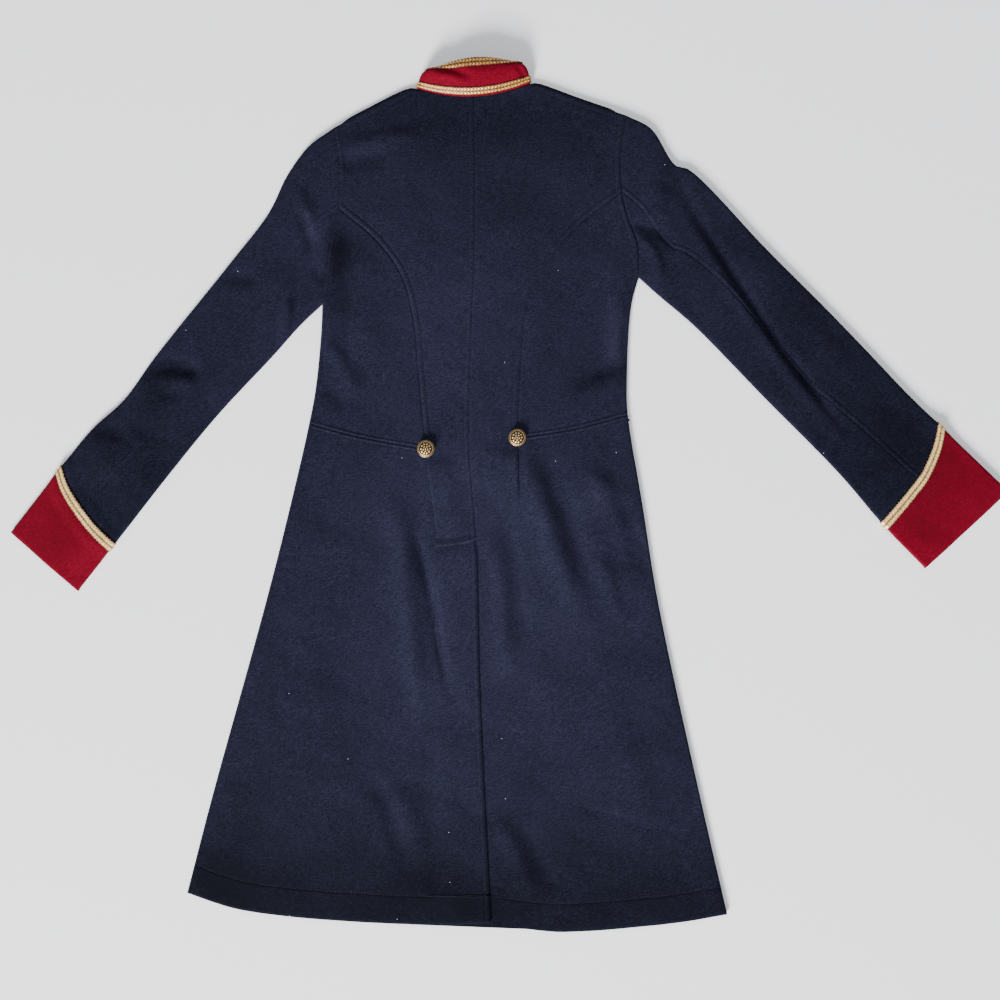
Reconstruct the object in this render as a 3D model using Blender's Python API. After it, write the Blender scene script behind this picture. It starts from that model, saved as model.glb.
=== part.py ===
"""Knee-length military frock coat, laid out face down with its back uppermost.

Plan measures are in metres from the nape, where the collar seam crosses the centre back seam: +X to
the right as the coat lies, +Y towards the collar.  The last step moves the origin to the middle of the
coat's box, on the surface it lies on.  Every piece of cloth is a wall whose outer points come from the
seam lines around it and from the height of the face it lies in.
"""

import math
from collections import namedtuple

import bmesh
import bpy
import numpy as np
from mathutils import Vector

# Cloth and trim
CLOTH = 0.0020
BRAID = 0.0012
BRAID_WIDTH = 0.0110
SEAM_GAP = 0.0003
HIDDEN_GAP = 0.0010
TRIM_CLEARANCE = 0.0005
BRAID_RISE = BRAID + TRIM_CLEARANCE

# How the layers lie on each other
EDGE_HEIGHT = 0.0030
FLAT_HEIGHT = 0.0060
CROWN = 0.0019
CROWN_REACH = 0.045
LEAST_HEIGHT = 0.0050
FOLD_FADE = 0.30
FOLD_EDGE_FADE = 0.012
CUFF_LIFT_FULL = 0.009
CUFF_LIFT_NONE = 0.024
EDGE_ROUND = 1.1
ROLL = EDGE_ROUND * (FLAT_HEIGHT - EDGE_HEIGHT)
ROLL_STEPS = 3

# Collar, vent, pleats and buttons
NECK_HALF_WIDTH = 0.0705
NECK_RISE = 0.0135
NECK_TILT = 0.0035
FRONT_NECK_DROP = 0.055
FRONT_NECK_BEND = 2
VENT_TOP = -0.555
VENT_LAP_WIDTH = 0.040
VENT_LAP_START = 0.022
LAP_RISE = CLOTH + HIDDEN_GAP
PLEAT_SPREAD = 0.045
VENT_SPREAD = 0.014
PLEAT_DEPTH = 0.016
PLEAT_TOP = -0.470
PLEAT_START = 0.028
PLEAT_END = -0.600
PLEAT_FADE = 0.080
BUTTON_DIAMETER = 0.0225
BUTTON_HEIGHT = 0.0075

# Usual sizes of the sleeve, for the seam gaps and the braid's width
SLEEVE_LENGTH = 0.450
SLEEVE_WIDTH = 0.115
CUFF_DEPTH = 0.080

LEFT, RIGHT = -1, 1
SIDES = {"left": LEFT, "right": RIGHT}

# Seam lines of the two sides, a row for each point along them
Pair = namedtuple("Pair", "point left_x left_y right_x right_y")
SHOULDER = (
    Pair("neck", -0.0725, 0.0095, 0.0725, 0.0160),
    Pair("ledge", -0.0800, 0.0100, 0.0770, 0.0165),
    Pair("slope", -0.1350, -0.0160, 0.1360, -0.0040),
    Pair("tip", -0.1750, -0.0375, 0.1910, -0.0225),
)
ARMHOLE = (
    Pair("tip", -0.1750, -0.0375, 0.1910, -0.0225),
    Pair("cap", -0.1675, -0.0850, 0.1840, -0.0660),
    Pair("blade", -0.1690, -0.1390, 0.1850, -0.1175),
    Pair("dip", -0.1790, -0.1760, 0.1940, -0.1690),
    Pair("underarm", -0.1900, -0.2590, 0.2060, -0.2250),
)
SIDE = (
    Pair("underarm", -0.1900, -0.2590, 0.2060, -0.2250),
    Pair("chest", -0.1915, -0.2950, 0.1965, -0.2620),
    Pair("waist", -0.1985, -0.3650, 0.1912, -0.3600),
    Pair("seam", -0.2065, -0.4080, 0.1925, -0.3970),
    Pair("hip", -0.2300, -0.5100, 0.2110, -0.5100),
    Pair("thigh", -0.2600, -0.6290, 0.2300, -0.6290),
    Pair("knee", -0.3290, -0.8790, 0.2840, -0.8790),
    Pair("hem", -0.3590, -0.9950, 0.3170, -1.0220),
)
PRINCESS = (
    Pair("blade", -0.1690, -0.1390, 0.1850, -0.1175),
    Pair("shoulder_blade", -0.1210, -0.1800, 0.1340, -0.1570),
    Pair("back", -0.0900, -0.2240, 0.0950, -0.2010),
    Pair("chest", -0.0750, -0.2810, 0.0670, -0.2600),
    Pair("waist", -0.0690, -0.3450, 0.0590, -0.3300),
    Pair("button", -0.0600, -0.4400, 0.0540, -0.4260),
)
WAIST = (
    Pair("side", -0.2065, -0.4080, 0.1925, -0.3970),
    Pair("middle", -0.1470, -0.4240, 0.1240, -0.4150),
    Pair("button", -0.0600, -0.4400, 0.0540, -0.4260),
)
PLEAT = (
    Pair("button", -0.0600, -0.4400, 0.0540, -0.4260),
    Pair("fold", -0.0520, -0.5050, 0.0560, -0.5040),
    Pair("release", -0.0480, -0.6300, 0.0680, -0.6300),
    Pair("hem", -0.0700, -1.0340, 0.1050, -1.0435),
)
SLEEVE_OUTER = (
    Pair("tip", -0.1750, -0.0375, 0.1910, -0.0225),
    Pair("cap", -0.2060, -0.0600, 0.2220, -0.0390),
    Pair("bicep", -0.2340, -0.0975, 0.2520, -0.0845),
    Pair("arm", -0.2575, -0.1450, 0.2690, -0.0900),
    Pair("elbow", -0.3075, -0.2100, 0.3675, -0.1910),
    Pair("forearm", -0.4010, -0.3270, 0.4425, -0.2660),
    Pair("low_forearm", -0.4380, -0.3780, 0.4960, -0.3215),
    Pair("wrist", -0.4790, -0.4160, 0.5400, -0.3680),
    Pair("braid", -0.5190, -0.4650, 0.5840, -0.4110),
)
SLEEVE_INNER = (
    Pair("underarm", -0.1900, -0.2590, 0.2060, -0.2250),
    Pair("arm", -0.2175, -0.2850, 0.2310, -0.2475),
    Pair("elbow", -0.2510, -0.3225, 0.2750, -0.2850),
    Pair("forearm", -0.3210, -0.3975, 0.3640, -0.3760),
    Pair("wrist", -0.3825, -0.4725, 0.4590, -0.4725),
    Pair("braid", -0.4525, -0.5625, 0.5125, -0.5360),
)
BRAID_LINE = (
    Pair("inner", -0.4525, -0.5625, 0.5125, -0.5360),
    Pair("low", -0.4725, -0.5440, 0.5475, -0.4950),
    Pair("middle", -0.4890, -0.5240, 0.5640, -0.4720),
    Pair("high", -0.5110, -0.4900, 0.5790, -0.4370),
    Pair("outer", -0.5190, -0.4650, 0.5840, -0.4110),
)
CUFF_END = (
    Pair("inner", -0.4960, -0.6175, 0.5650, -0.5890),
    Pair("outer", -0.5800, -0.5440, 0.6690, -0.4925),
)

# Seam lines down the middle and along the hems
Point = namedtuple("Point", "point x y")
CENTRE_BACK = (
    Point("nape", 0.0000, 0.0000),
    Point("blades", 0.0010, -0.1700),
    Point("waist", -0.0060, -0.4250),
    Point("vent", 0.0025, -0.5550),
    Point("knee", 0.0070, -0.7420),
    Point("hem", 0.0210, -1.0320),
)
HEM = {
    LEFT: (
        Point("side", -0.3590, -0.9950),
        Point("corner", -0.3000, -1.0140),
        Point("quarter", -0.2110, -1.0260),
        Point("pleat", -0.0700, -1.0340),
        Point("vent", 0.0210, -1.0320),
    ),
    RIGHT: (
        Point("side", 0.3170, -1.0220),
        Point("quarter", 0.2390, -1.0340),
        Point("pleat", 0.1050, -1.0435),
        Point("vent", 0.0210, -1.0360),
    ),
}
FRONT_HEM_DIP = 0.0045
FRONT_HEM_DIP_X = -0.040
FRONT_HEM_DIP_WIDTH = 0.045

# Where the back seam of the sleeve lies: its share of the way from the inner to the outer edge.  It
# starts at the armhole from the end of the princess seam
Share = namedtuple("Share", "along across")
SLEEVE_SEAM = (
    Share(0.22, 0.56),
    Share(0.36, 0.54),
    Share(0.52, 0.47),
    Share(0.80, 0.47),
    Share(1.00, 0.50),
)
FRONT_SEAM_SHARE = 0.30

# The collar from its seam to its top edge: crown is the middle of the back, brow where it turns over
Ring = namedtuple("Ring", "share half_width back_y side_y front_y crown_z brow_z side_z")
COLLAR = (
    Ring(0.00, 0.0705, 0.0000, 0.0135, -0.0550, 0.0080, 0.0072, 0.0042),
    Ring(0.30, 0.0700, 0.0150, 0.0200, -0.0430, 0.0180, 0.0130, 0.0075),
    Ring(0.65, 0.0670, 0.0330, 0.0290, -0.0290, 0.0245, 0.0170, 0.0100),
    Ring(1.00, 0.0610, 0.0500, 0.0370, -0.0150, 0.0225, 0.0165, 0.0100),
)
COLLAR_BRAIDS = {"lower": (0.05, 0.29), "upper": (0.76, 0.985)}

# The largest folds: a ridge where height is positive, a trough where it is negative
Fold = namedtuple("Fold", "name start_x start_y end_x end_y bow width height")
FOLDS = (
    Fold("left_shoulder_trough", -0.165, -0.085, -0.060, -0.050, 0.008, 0.014, -0.0014),
    Fold("left_shoulder_ridge", -0.150, -0.060, -0.050, -0.030, 0.006, 0.014, 0.0022),
    Fold("left_armhole_trough", -0.178, -0.150, -0.150, -0.290, -0.010, 0.014, -0.0020),
    Fold("left_armhole_ridge", -0.150, -0.165, -0.140, -0.330, 0.000, 0.024, 0.0026),
    Fold("left_flank_ridge", -0.185, -0.290, -0.120, -0.420, 0.004, 0.018, 0.0030),
    Fold("right_flank_ridge", 0.185, -0.250, 0.165, -0.370, 0.006, 0.016, 0.0028),
    Fold("right_waist_trough", 0.190, -0.330, 0.110, -0.390, 0.000, 0.016, -0.0014),
    Fold("left_pleat_trough", -0.066, -0.455, -0.045, -0.700, -0.014, 0.012, -0.0020),
    Fold("left_pleat_ridge", -0.085, -0.470, -0.060, -0.740, -0.012, 0.016, 0.0050),
    Fold("right_pleat_ridge", 0.066, -0.445, 0.110, -0.690, 0.010, 0.014, 0.0048),
    Fold("right_pleat_trough", 0.075, -0.460, 0.180, -0.680, 0.010, 0.012, -0.0020),
    Fold("right_hip_ridge", 0.120, -0.470, 0.200, -0.680, 0.006, 0.018, 0.0034),
    Fold("vent_ridge", 0.020, -0.560, 0.030, -0.800, 0.006, 0.012, 0.0030),
    Fold("vent_trough", 0.044, -0.540, 0.052, -0.720, 0.004, 0.012, -0.0018),
    Fold("right_knee_ridge", 0.140, -0.660, 0.220, -0.940, 0.000, 0.034, 0.0030),
    Fold("left_knee_ridge", -0.185, -0.560, -0.235, -0.930, 0.000, 0.040, 0.0030),
    Fold("left_hem_trough", -0.130, -0.880, -0.095, -0.975, 0.004, 0.018, -0.0020),
    Fold("left_hem_ridge", -0.105, -0.860, -0.065, -0.975, 0.004, 0.020, 0.0034),
    Fold("right_hem_ridge", 0.040, -0.900, 0.075, -1.020, 0.006, 0.016, 0.0040),
    Fold("right_hem_trough", 0.062, -0.930, 0.100, -1.010, 0.006, 0.014, -0.0018),
    Fold("left_elbow_ridge", -0.215, -0.215, -0.400, -0.430, 0.010, 0.022, 0.0034),
    Fold("left_elbow_trough", -0.345, -0.300, -0.385, -0.400, 0.004, 0.014, -0.0020),
    Fold("left_wrist_ridge", -0.405, -0.410, -0.470, -0.480, 0.004, 0.018, 0.0026),
    Fold("left_sleeve_cap_ridge", -0.200, -0.085, -0.215, -0.215, 0.006, 0.020, 0.0028),
    Fold("right_cap_ridge", 0.220, -0.065, 0.245, -0.165, -0.008, 0.018, 0.0030),
    Fold("right_underarm_ridge", 0.205, -0.170, 0.240, -0.225, -0.010, 0.012, 0.0030),
    Fold("right_sleeve_trough", 0.265, -0.125, 0.455, -0.405, -0.012, 0.012, -0.0024),
    Fold("right_sleeve_ridge", 0.255, -0.200, 0.470, -0.440, -0.006, 0.017, 0.0038),
    Fold("right_outer_ridge", 0.300, -0.160, 0.510, -0.390, 0.000, 0.020, 0.0028),
)

COLOURS = {
    "navy_cloth": ((0.014, 0.017, 0.034), 0.90, 0.0),
    "red_cloth": ((0.320, 0.006, 0.020), 0.85, 0.0),
    "gold_braid": ((0.520, 0.330, 0.085), 0.45, 0.6),
    "brass": ((0.520, 0.360, 0.140), 0.35, 1.0),
}


# Lines in plan

def polyline(points, per_span=12):
    """A dense line through the points, smooth as a bent lath (centripetal Catmull-Rom)."""
    p = np.array(points, float)
    knots = np.concatenate([[0], np.cumsum(np.linalg.norm(np.diff(p, axis=0), axis=1) ** 0.5)])
    slopes = np.gradient(p, knots, axis=0)
    t = np.linspace(0, 1, per_span, endpoint=False)[:, None]
    spans = []
    for a, b, slope_a, slope_b, span in zip(p, p[1:], slopes, slopes[1:], np.diff(knots)):
        step, m, n = b - a, slope_a * span, slope_b * span
        spans.append(a + m * t + (3 * step - 2 * m - n) * t**2 + (m + n - 2 * step) * t**3)
    return np.vstack([*spans, p[-1:]])


def seam(table, side):
    """The line of one side of a table of pairs."""
    columns = ("left_x", "left_y") if side == LEFT else ("right_x", "right_y")
    return polyline([[getattr(row, c) for c in columns] for row in table])


def middle_line(table):
    return polyline([[row.x, row.y] for row in table])


def lengths(line):
    return np.concatenate([[0], np.cumsum(np.linalg.norm(np.diff(line, axis=0), axis=1))])


def at(line, share):
    """The points at these shares of the line's length."""
    along = lengths(line)
    where = np.clip(share, 0, 1) * along[-1]
    return np.stack([np.interp(where, along, line[:, k]) for k in (0, 1)], axis=-1)


def cut(line, first, last):
    """The stretch of a line between two shares of its length."""
    return at(line, np.linspace(first, last, 60))


def joined(*lines):
    """Lines end to end, and the share of the length at which each one ends."""
    whole = np.vstack([lines[0], *[line[1:] for line in lines[1:]]])
    ends = np.cumsum([lengths(line)[-1] for line in lines])
    return whole, ends / ends[-1]


def share_nearest(line, point):
    """The share of the line's length that is nearest to a point."""
    fine = np.linspace(0, 1, 2001)
    return fine[np.argmin(np.linalg.norm(at(line, fine) - np.array(point), axis=1))]


def patch(top, bottom, left, right):
    """The plan point at (across, down), both from 0 to 1, inside four lines (a Coons patch)."""
    corners = top[0], top[-1], bottom[0], bottom[-1]

    def point(across, down):
        u, v = across[..., None], down[..., None]
        sideways = (1 - u) * at(left, down) + u * at(right, down)
        lengthways = (1 - v) * at(top, across) + v * at(bottom, across)
        a, b, c, d = corners
        twice = (1 - u) * (1 - v) * a + u * (1 - v) * b + (1 - u) * v * c + u * v * d
        return sideways + lengthways - twice

    return point


LINES = {
    side: {
        "shoulder": seam(SHOULDER, side),
        "armhole": seam(ARMHOLE, side),
        "side": seam(SIDE, side),
        "princess": seam(PRINCESS, side),
        "waist": seam(WAIST, side),
        "pleat": seam(PLEAT, side),
        "outer": seam(SLEEVE_OUTER, side),
        "inner": seam(SLEEVE_INNER, side),
        "braid": seam(BRAID_LINE, side),
        "cuff_end": seam(CUFF_END, side),
        "hem": middle_line(HEM[side]),
    }
    for side in SIDES.values()
}
CENTRE = middle_line(CENTRE_BACK)


def cuff_edge(side, end):
    """The cuff's straight side edge: end 0 is the inner one, end -1 the outer one."""
    line = LINES[side]
    return np.linspace(line["braid"][end], line["cuff_end"][end], 12)


FOLDED_EDGES = [
    edge
    for side in SIDES.values()
    for edge in (*[LINES[side][name] for name in ("shoulder", "side", "outer", "inner")],
                 cuff_edge(side, 0), cuff_edge(side, -1))
]


# Heights over the surface that the coat lies on

def distance(points, lines):
    """How far each plan point is from the nearest of some lines."""
    flat = points.reshape(-1, 2)
    best = np.full(len(flat), np.inf)
    for line in lines:
        start, step = line[:-1], np.diff(line, axis=0)
        squares = np.maximum((step**2).sum(1), 1e-18)
        share = np.clip(((flat[:, None] - start) * step).sum(2) / squares, 0, 1)
        gaps = np.linalg.norm(flat[:, None] - start - share[..., None] * step, axis=2)
        best = np.minimum(best, gaps.min(1))
    return best.reshape(points.shape[:-1])


def ease(x, low, high):
    """0 below low, 1 above high, and a smooth step between."""
    t = np.clip((x - low) / (high - low), 0, 1)
    return t * t * (3 - 2 * t)


def fold_height(points, fold):
    """A soft ridge or trough along a bowed line, fading out at both ends."""
    start, end = np.array([fold.start_x, fold.start_y]), np.array([fold.end_x, fold.end_y])
    run = end - start
    length = np.linalg.norm(run)
    along = ((points - start) @ run) / length**2
    aside = (points - start) @ np.array([-run[1], run[0]]) / length
    inside = np.clip(along, 0, 1)
    aside = aside - fold.bow * 4 * inside * (1 - inside)
    fade = ease(along, 0, FOLD_FADE) * (1 - ease(along, 1 - FOLD_FADE, 1))
    return fold.height * fade * np.exp(-((aside / fold.width) ** 2))


def cuff_lift(points):
    """The sleeve end is lifted off the surface by the braid that runs round under it."""
    away = distance(points, [LINES[side]["braid"] for side in SIDES.values()])
    return BRAID_RISE * (1 - ease(away, CUFF_LIFT_FULL, CUFF_LIFT_NONE))


def rounded(height, away):
    """Brings a face's height over the edge down to nothing at a folded edge, as a quarter round."""
    depth = np.clip(away / (EDGE_ROUND * np.abs(height)), 0, 1)
    return height * np.sqrt(1 - (1 - depth) ** 2)


def upper_face(points, gap=0.0):
    """Height of the face that looks up; gap is half the seam gap, where a seam runs along the edge."""
    away = distance(points, FOLDED_EDGES)
    face = FLAT_HEIGHT + CROWN * (1 - np.exp(-away / CROWN_REACH))
    face = face + sum(fold_height(points, fold) for fold in FOLDS) * ease(away, 0, FOLD_EDGE_FADE)
    face = np.maximum(face, LEAST_HEIGHT)
    edge = EDGE_HEIGHT + gap
    return edge + rounded(face - edge, away) + cuff_lift(points)


def lower_face(points, gap=0.0):
    """Height of the face that lies on the surface."""
    edge = np.full(points.shape[:-1], EDGE_HEIGHT - gap)
    return edge - rounded(edge, distance(points, FOLDED_EDGES)) + cuff_lift(points)


# Walls of cloth

Leg = namedtuple("Leg", "first last steps pace upper", defaults=(True,))
PACES = {
    "even": lambda f: f,
    "from_edge": lambda f: 1 - np.cos(np.pi / 2 * f),
    "to_edge": lambda f: np.sin(np.pi / 2 * f),
}


def travel(legs, steps):
    """The share reached after this many steps along the legs, and whether it is on the upper face."""
    share, upper, begun = np.zeros_like(steps), np.ones(steps.shape, bool), 0
    for leg in legs:
        part = PACES[leg.pace](np.clip((steps - begun) / leg.steps, 0, 1))
        share = np.where(steps >= begun, leg.first + (leg.last - leg.first) * part, share)
        upper = np.where(steps >= begun, leg.upper, upper)
        begun += leg.steps
    return share, upper


def count(legs):
    return sum(leg.steps for leg in legs)


def wall(name, surface, columns, rows, finish, outward, thickness=CLOTH, outset=0.0, over_seam=()):
    """A closed wall: outer points on surface(column, row) moved out by outset, inner ones a thickness
    further in.  Rows named in over_seam keep their rim over the seam line that they follow."""
    small = 1e-3
    c, r = np.meshgrid(np.arange(columns + 1.0), np.arange(rows + 1.0))
    place = surface(c, r)
    across = surface(np.minimum(c + small, columns), r) - surface(np.maximum(c - small, 0), r)
    down = surface(c, np.minimum(r + small, rows)) - surface(c, np.maximum(r - small, 0))
    normal = outward * np.cross(down, across)
    normal /= np.linalg.norm(normal, axis=-1, keepdims=True)
    for row in over_seam:
        level = np.cross(across[row], [0, 0, 1.0])
        size = np.linalg.norm(level, axis=-1, keepdims=True)
        level = np.where(size > 1e-9, level / np.maximum(size, 1e-12), 0)
        normal[row] -= (normal[row] * level).sum(-1, keepdims=True) * level
    outer = place + normal * outset
    inner = place + normal * (outset - thickness)

    bm = bmesh.new()
    skins = [[[bm.verts.new(p) for p in line] for line in skin] for skin in (outer, inner)]
    for skin in skins:
        for here, below in zip(skin, skin[1:]):
            for k in range(columns):
                bm.faces.new((here[k], here[k + 1], below[k + 1], below[k]))
    outlines = []
    for skin in skins:
        outlines.append(skin[0][:-1] + [line[-1] for line in skin[:-1]] + skin[-1][:0:-1]
                        + [line[0] for line in skin[:0:-1]])
    for k in range(len(outlines[0])):
        bm.faces.new((outlines[0][k - 1], outlines[0][k], outlines[1][k], outlines[1][k - 1]))
    return finished(name, bm, finish)


def finished(name, bm, finish):
    """The object made of a closed mesh, facing out, shaded smooth with its rims sharp."""
    bmesh.ops.recalc_face_normals(bm, faces=bm.faces)
    if bm.calc_volume(signed=True) < 0:
        bmesh.ops.reverse_faces(bm, faces=bm.faces)
    mesh = bpy.data.meshes.new(name)
    bm.to_mesh(mesh)
    bm.free()
    mesh.shade_smooth()
    mesh.set_sharp_from_angle(angle=math.radians(50))
    mesh.materials.append(MATERIALS[finish])
    thing = bpy.data.objects.new(name, mesh)
    bpy.context.scene.collection.objects.link(thing)
    return thing


def material(name, colour, roughness, metallic):
    made = bpy.data.materials.new(name)
    made.use_nodes = True
    shader = made.node_tree.nodes["Principled BSDF"]
    shader.inputs["Base Color"].default_value = (*colour, 1)
    shader.inputs["Roughness"].default_value = roughness
    shader.inputs["Metallic"].default_value = metallic
    return made


def panel(name, plan, across, down, height, finish, outward):
    """A flat-lying panel: a patch in plan with a height over each point of it."""
    def surface(c, r):
        points = plan(travel(across, c)[0], travel(down, r)[0])
        return np.concatenate([points, height(points)[..., None]], axis=-1)

    return wall(name, surface, count(across), count(down), finish, outward)


def half(gap, line):
    """Half a seam gap as a share of a line's length."""
    return gap / 2 / lengths(line)[-1]


# Back body

def meets(line, other, end):
    """Per side, the share of one seam line at which another one ends on it."""
    return {side: share_nearest(LINES[side][line], LINES[side][other][end]) for side in SIDES.values()}


BLADE_SHARE = meets("armhole", "princess", 0)
WAIST_SHARE = meets("side", "waist", 0)
PLEAT_HEM_SHARE = meets("hem", "pleat", -1)
ARMHOLE_STEPS, PRINCESS_STEPS, SKIRT_STEPS, SIDE_STEPS = 5, 12, 20, 8
UNDERARM_BLEND = 0.030


def neck_line(side, sink):
    """From the neck point round to the nape, a little short of the collar."""
    x = np.linspace(side * NECK_HALF_WIDTH, 0, 24)
    share = x / NECK_HALF_WIDTH
    return np.stack([x, NECK_RISE * share**2 + NECK_TILT * share - sink * (1 + 2 * share**4)], axis=1)


def line_x(line, y):
    """Where a line that runs down the coat crosses each level."""
    return np.interp(-y, -line[:, 1], line[:, 0])


def pleat_hold(y):
    """How far the pleat is folded at each level: 1 where the centre back lies over the skirt."""
    below_top, below_end = PLEAT_TOP - y, PLEAT_END - y
    return ease(below_top, -PLEAT_START, 0) * (1 - ease(below_end, 0, PLEAT_FADE))


def lap_rise(points, side):
    """How far the centre back is lifted by what lies under it: the pleat and, on the left, the vent's lap."""
    x, y = points[..., 0], points[..., 1]
    beside_pleat = np.maximum(side * (line_x(LINES[side]["pleat"], y) - x), 0)
    rise = pleat_hold(y) * (1 - ease(beside_pleat, PLEAT_DEPTH, PLEAT_SPREAD))
    if side == LEFT:
        beside_vent = np.maximum(line_x(CENTRE, y) - x, 0)
        open_vent = ease(VENT_TOP - y, -VENT_LAP_START / 2, VENT_LAP_START)
        over_lap = 1 - ease(beside_vent, VENT_LAP_WIDTH, VENT_LAP_WIDTH + VENT_SPREAD)
        rise = np.maximum(rise, open_vent * over_lap)
    return LAP_RISE * rise


def back_centre(name, side):
    """Neck to hem in one piece, from the centre back seam to the armhole, princess seam and pleat."""
    line = LINES[side]
    armhole = cut(line["armhole"], 0, BLADE_SHARE[side])
    outside, ends = joined(armhole, line["princess"], line["pleat"])
    top, top_ends = joined(line["shoulder"][::-1], neck_line(side, HIDDEN_GAP / 2))
    hem = cut(line["hem"], PLEAT_HEM_SHARE[side], 1)
    plan = patch(top, hem, outside, CENTRE)
    roll = ROLL / lengths(outside)[-1]
    gap = half(SEAM_GAP, hem)
    across = (Leg(gap, top_ends[0], 5, "even"), Leg(top_ends[0], 1 - gap, 4, "even"))
    down = (Leg(0, roll, ROLL_STEPS, "from_edge"), Leg(roll, ends[0], ARMHOLE_STEPS, "even"),
            Leg(ends[0], ends[1], PRINCESS_STEPS, "even"), Leg(ends[1], 1, SKIRT_STEPS, "even"))

    def height(points):
        return upper_face(points, SEAM_GAP / 2) + lap_rise(points, side)

    return panel(name, plan, across, down, height, "navy_cloth", -side)


def back_side(name, side):
    """The panel beside it, from the armhole to the waist seam."""
    line = LINES[side]
    clear = [side * 2 * SEAM_GAP, 0]
    armhole = cut(line["armhole"], 1, BLADE_SHARE[side]) - clear
    edge = cut(line["side"], 0, WAIST_SHARE[side])
    edge = edge - (1 - ease(lengths(edge), 0, UNDERARM_BLEND))[:, None] * clear
    plan = patch(armhole, line["waist"], edge, line["princess"])
    roll, gap = ROLL / lengths(armhole)[-1], half(SEAM_GAP, armhole)
    tall = half(SEAM_GAP, line["princess"])
    across = (Leg(0, roll, ROLL_STEPS, "from_edge"), Leg(roll, 1 - gap, SIDE_STEPS, "even"))
    down = (Leg(tall, 1 - tall, PRINCESS_STEPS, "even"),)
    return panel(name, plan, across, down, lambda p: upper_face(p, SEAM_GAP / 2), "navy_cloth", -side)


def skirt(name, side):
    """From the waist seam to the hem, its inner edge folded under the centre back as a pleat."""
    line = LINES[side]
    pleat = at(line["pleat"], np.linspace(0, 1, 200))
    margin = PLEAT_START / 2
    held = (pleat[:, 1] - PLEAT_END - margin) / (PLEAT_TOP - PLEAT_END - 2 * margin)
    pleat[:, 0] -= side * PLEAT_DEPTH * np.sin(np.pi * np.clip(held, 0, 1)) ** 2
    hem = cut(line["hem"], 0, PLEAT_HEM_SHARE[side])
    plan = patch(line["waist"], hem, cut(line["side"], WAIST_SHARE[side], 1), pleat)
    roll, gap = ROLL / lengths(hem)[-1], half(SEAM_GAP, line["waist"])
    across = (Leg(0, roll, ROLL_STEPS, "from_edge"), Leg(roll, 1 - gap, SIDE_STEPS, "even"))
    down = (Leg(half(SEAM_GAP, pleat), 1, SKIRT_STEPS, "even"),)

    def height(points):
        x, y = points[..., 0], points[..., 1]
        under = side * (line_x(LINES[side]["pleat"], y) - x)
        sunk = (LAP_RISE - lap_rise(points, side)) * ease(under, 0, HIDDEN_GAP) * pleat_hold(y)
        return upper_face(points, SEAM_GAP / 2) - sunk

    return panel(name, plan, across, down, height, "navy_cloth", -side)


def vent_underlap(name):
    """The right back's extension, which lies under the left back from the vent's top to the hem."""
    vent = CENTRE[CENTRE[:, 1] < VENT_TOP - VENT_LAP_START]
    edge = vent - [VENT_LAP_WIDTH, 0]
    plan = patch(np.linspace(edge[0], vent[0], 8), np.linspace(edge[-1], vent[-1], 8), edge, vent)
    gap = SEAM_GAP / VENT_LAP_WIDTH
    across, down = (Leg(0, 1 - gap, 3, "even"),), (Leg(0, 1, 16, "even"),)

    def height(points):
        return upper_face(points) + lap_rise(points, LEFT) - LAP_RISE

    return panel(name, plan, across, down, height, "navy_cloth", 1)


# Fronts, which lie on the surface under the back

def front(name, side):
    """Shoulder to hem in one piece, from the side seam to the closing edge at the centre front."""
    line = LINES[side]
    armhole = line["armhole"].copy()
    armhole[:, 0] -= side * HIDDEN_GAP * np.sin(np.linspace(0, np.pi, len(armhole))) ** 0.5
    outside, ends = joined(armhole, line["side"])
    share = np.linspace(side, 0, 24)
    scoop = (NECK_RISE + FRONT_NECK_DROP) * (1 - share**2) ** FRONT_NECK_BEND
    neck_y = NECK_RISE - scoop + NECK_TILT * share - 2 * HIDDEN_GAP
    neck = np.stack([NECK_HALF_WIDTH * share, neck_y], axis=1)
    top, top_ends = joined(line["shoulder"][::-1], neck)
    whole_hem = middle_line((*HEM[LEFT][:-1], *HEM[RIGHT][-2::-1]))
    dip = FRONT_HEM_DIP * np.exp(-(((whole_hem[:, 0] - FRONT_HEM_DIP_X) / FRONT_HEM_DIP_WIDTH) ** 2))
    whole_hem[:, 1] -= dip
    closing = share_nearest(whole_hem, [CENTRE_BACK[-1].x, CENTRE_BACK[-1].y])
    hem = cut(whole_hem, 0 if side == LEFT else 1, closing)
    plan = patch(top, hem, outside, np.linspace(neck[-1], hem[-1], 40))
    roll = ROLL / lengths(hem)[-1]
    across = (Leg(0, roll, ROLL_STEPS, "from_edge"), Leg(roll, top_ends[0], 3, "even"),
              Leg(top_ends[0], 1 - half(HIDDEN_GAP, hem), 5, "even"))
    high = ROLL / lengths(outside)[-1]
    down = (Leg(0, high, ROLL_STEPS, "from_edge"), Leg(high, ends[0], 6, "even"), Leg(ends[0], 1, 12, "even"))
    return panel(name, plan, across, down, lambda p: lower_face(p, SEAM_GAP / 2), "navy_cloth", side)


# Sleeves and cuffs

def sleeve_plan(side):
    """Plan point at (inner to outer edge, armhole 0 to braid 1 to cuff end 2)."""
    line = LINES[side]
    arm = patch(line["armhole"][::-1], line["braid"], line["inner"], line["outer"])
    cuff = patch(line["braid"], line["cuff_end"], cuff_edge(side, 0), cuff_edge(side, -1))

    def point(across, along):
        near, far = arm(across, np.clip(along, 0, 1)), cuff(across, np.clip(along - 1, 0, 1))
        return np.where((along <= 1)[..., None], near, far)

    return point


def seam_share(side, along):
    """Where the back seam lies across the sleeve at each point along it."""
    shares = [1 - BLADE_SHARE[side], *[row.across for row in SLEEVE_SEAM]]
    return np.interp(along, [0, *[row.along for row in SLEEVE_SEAM]], shares)


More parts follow.
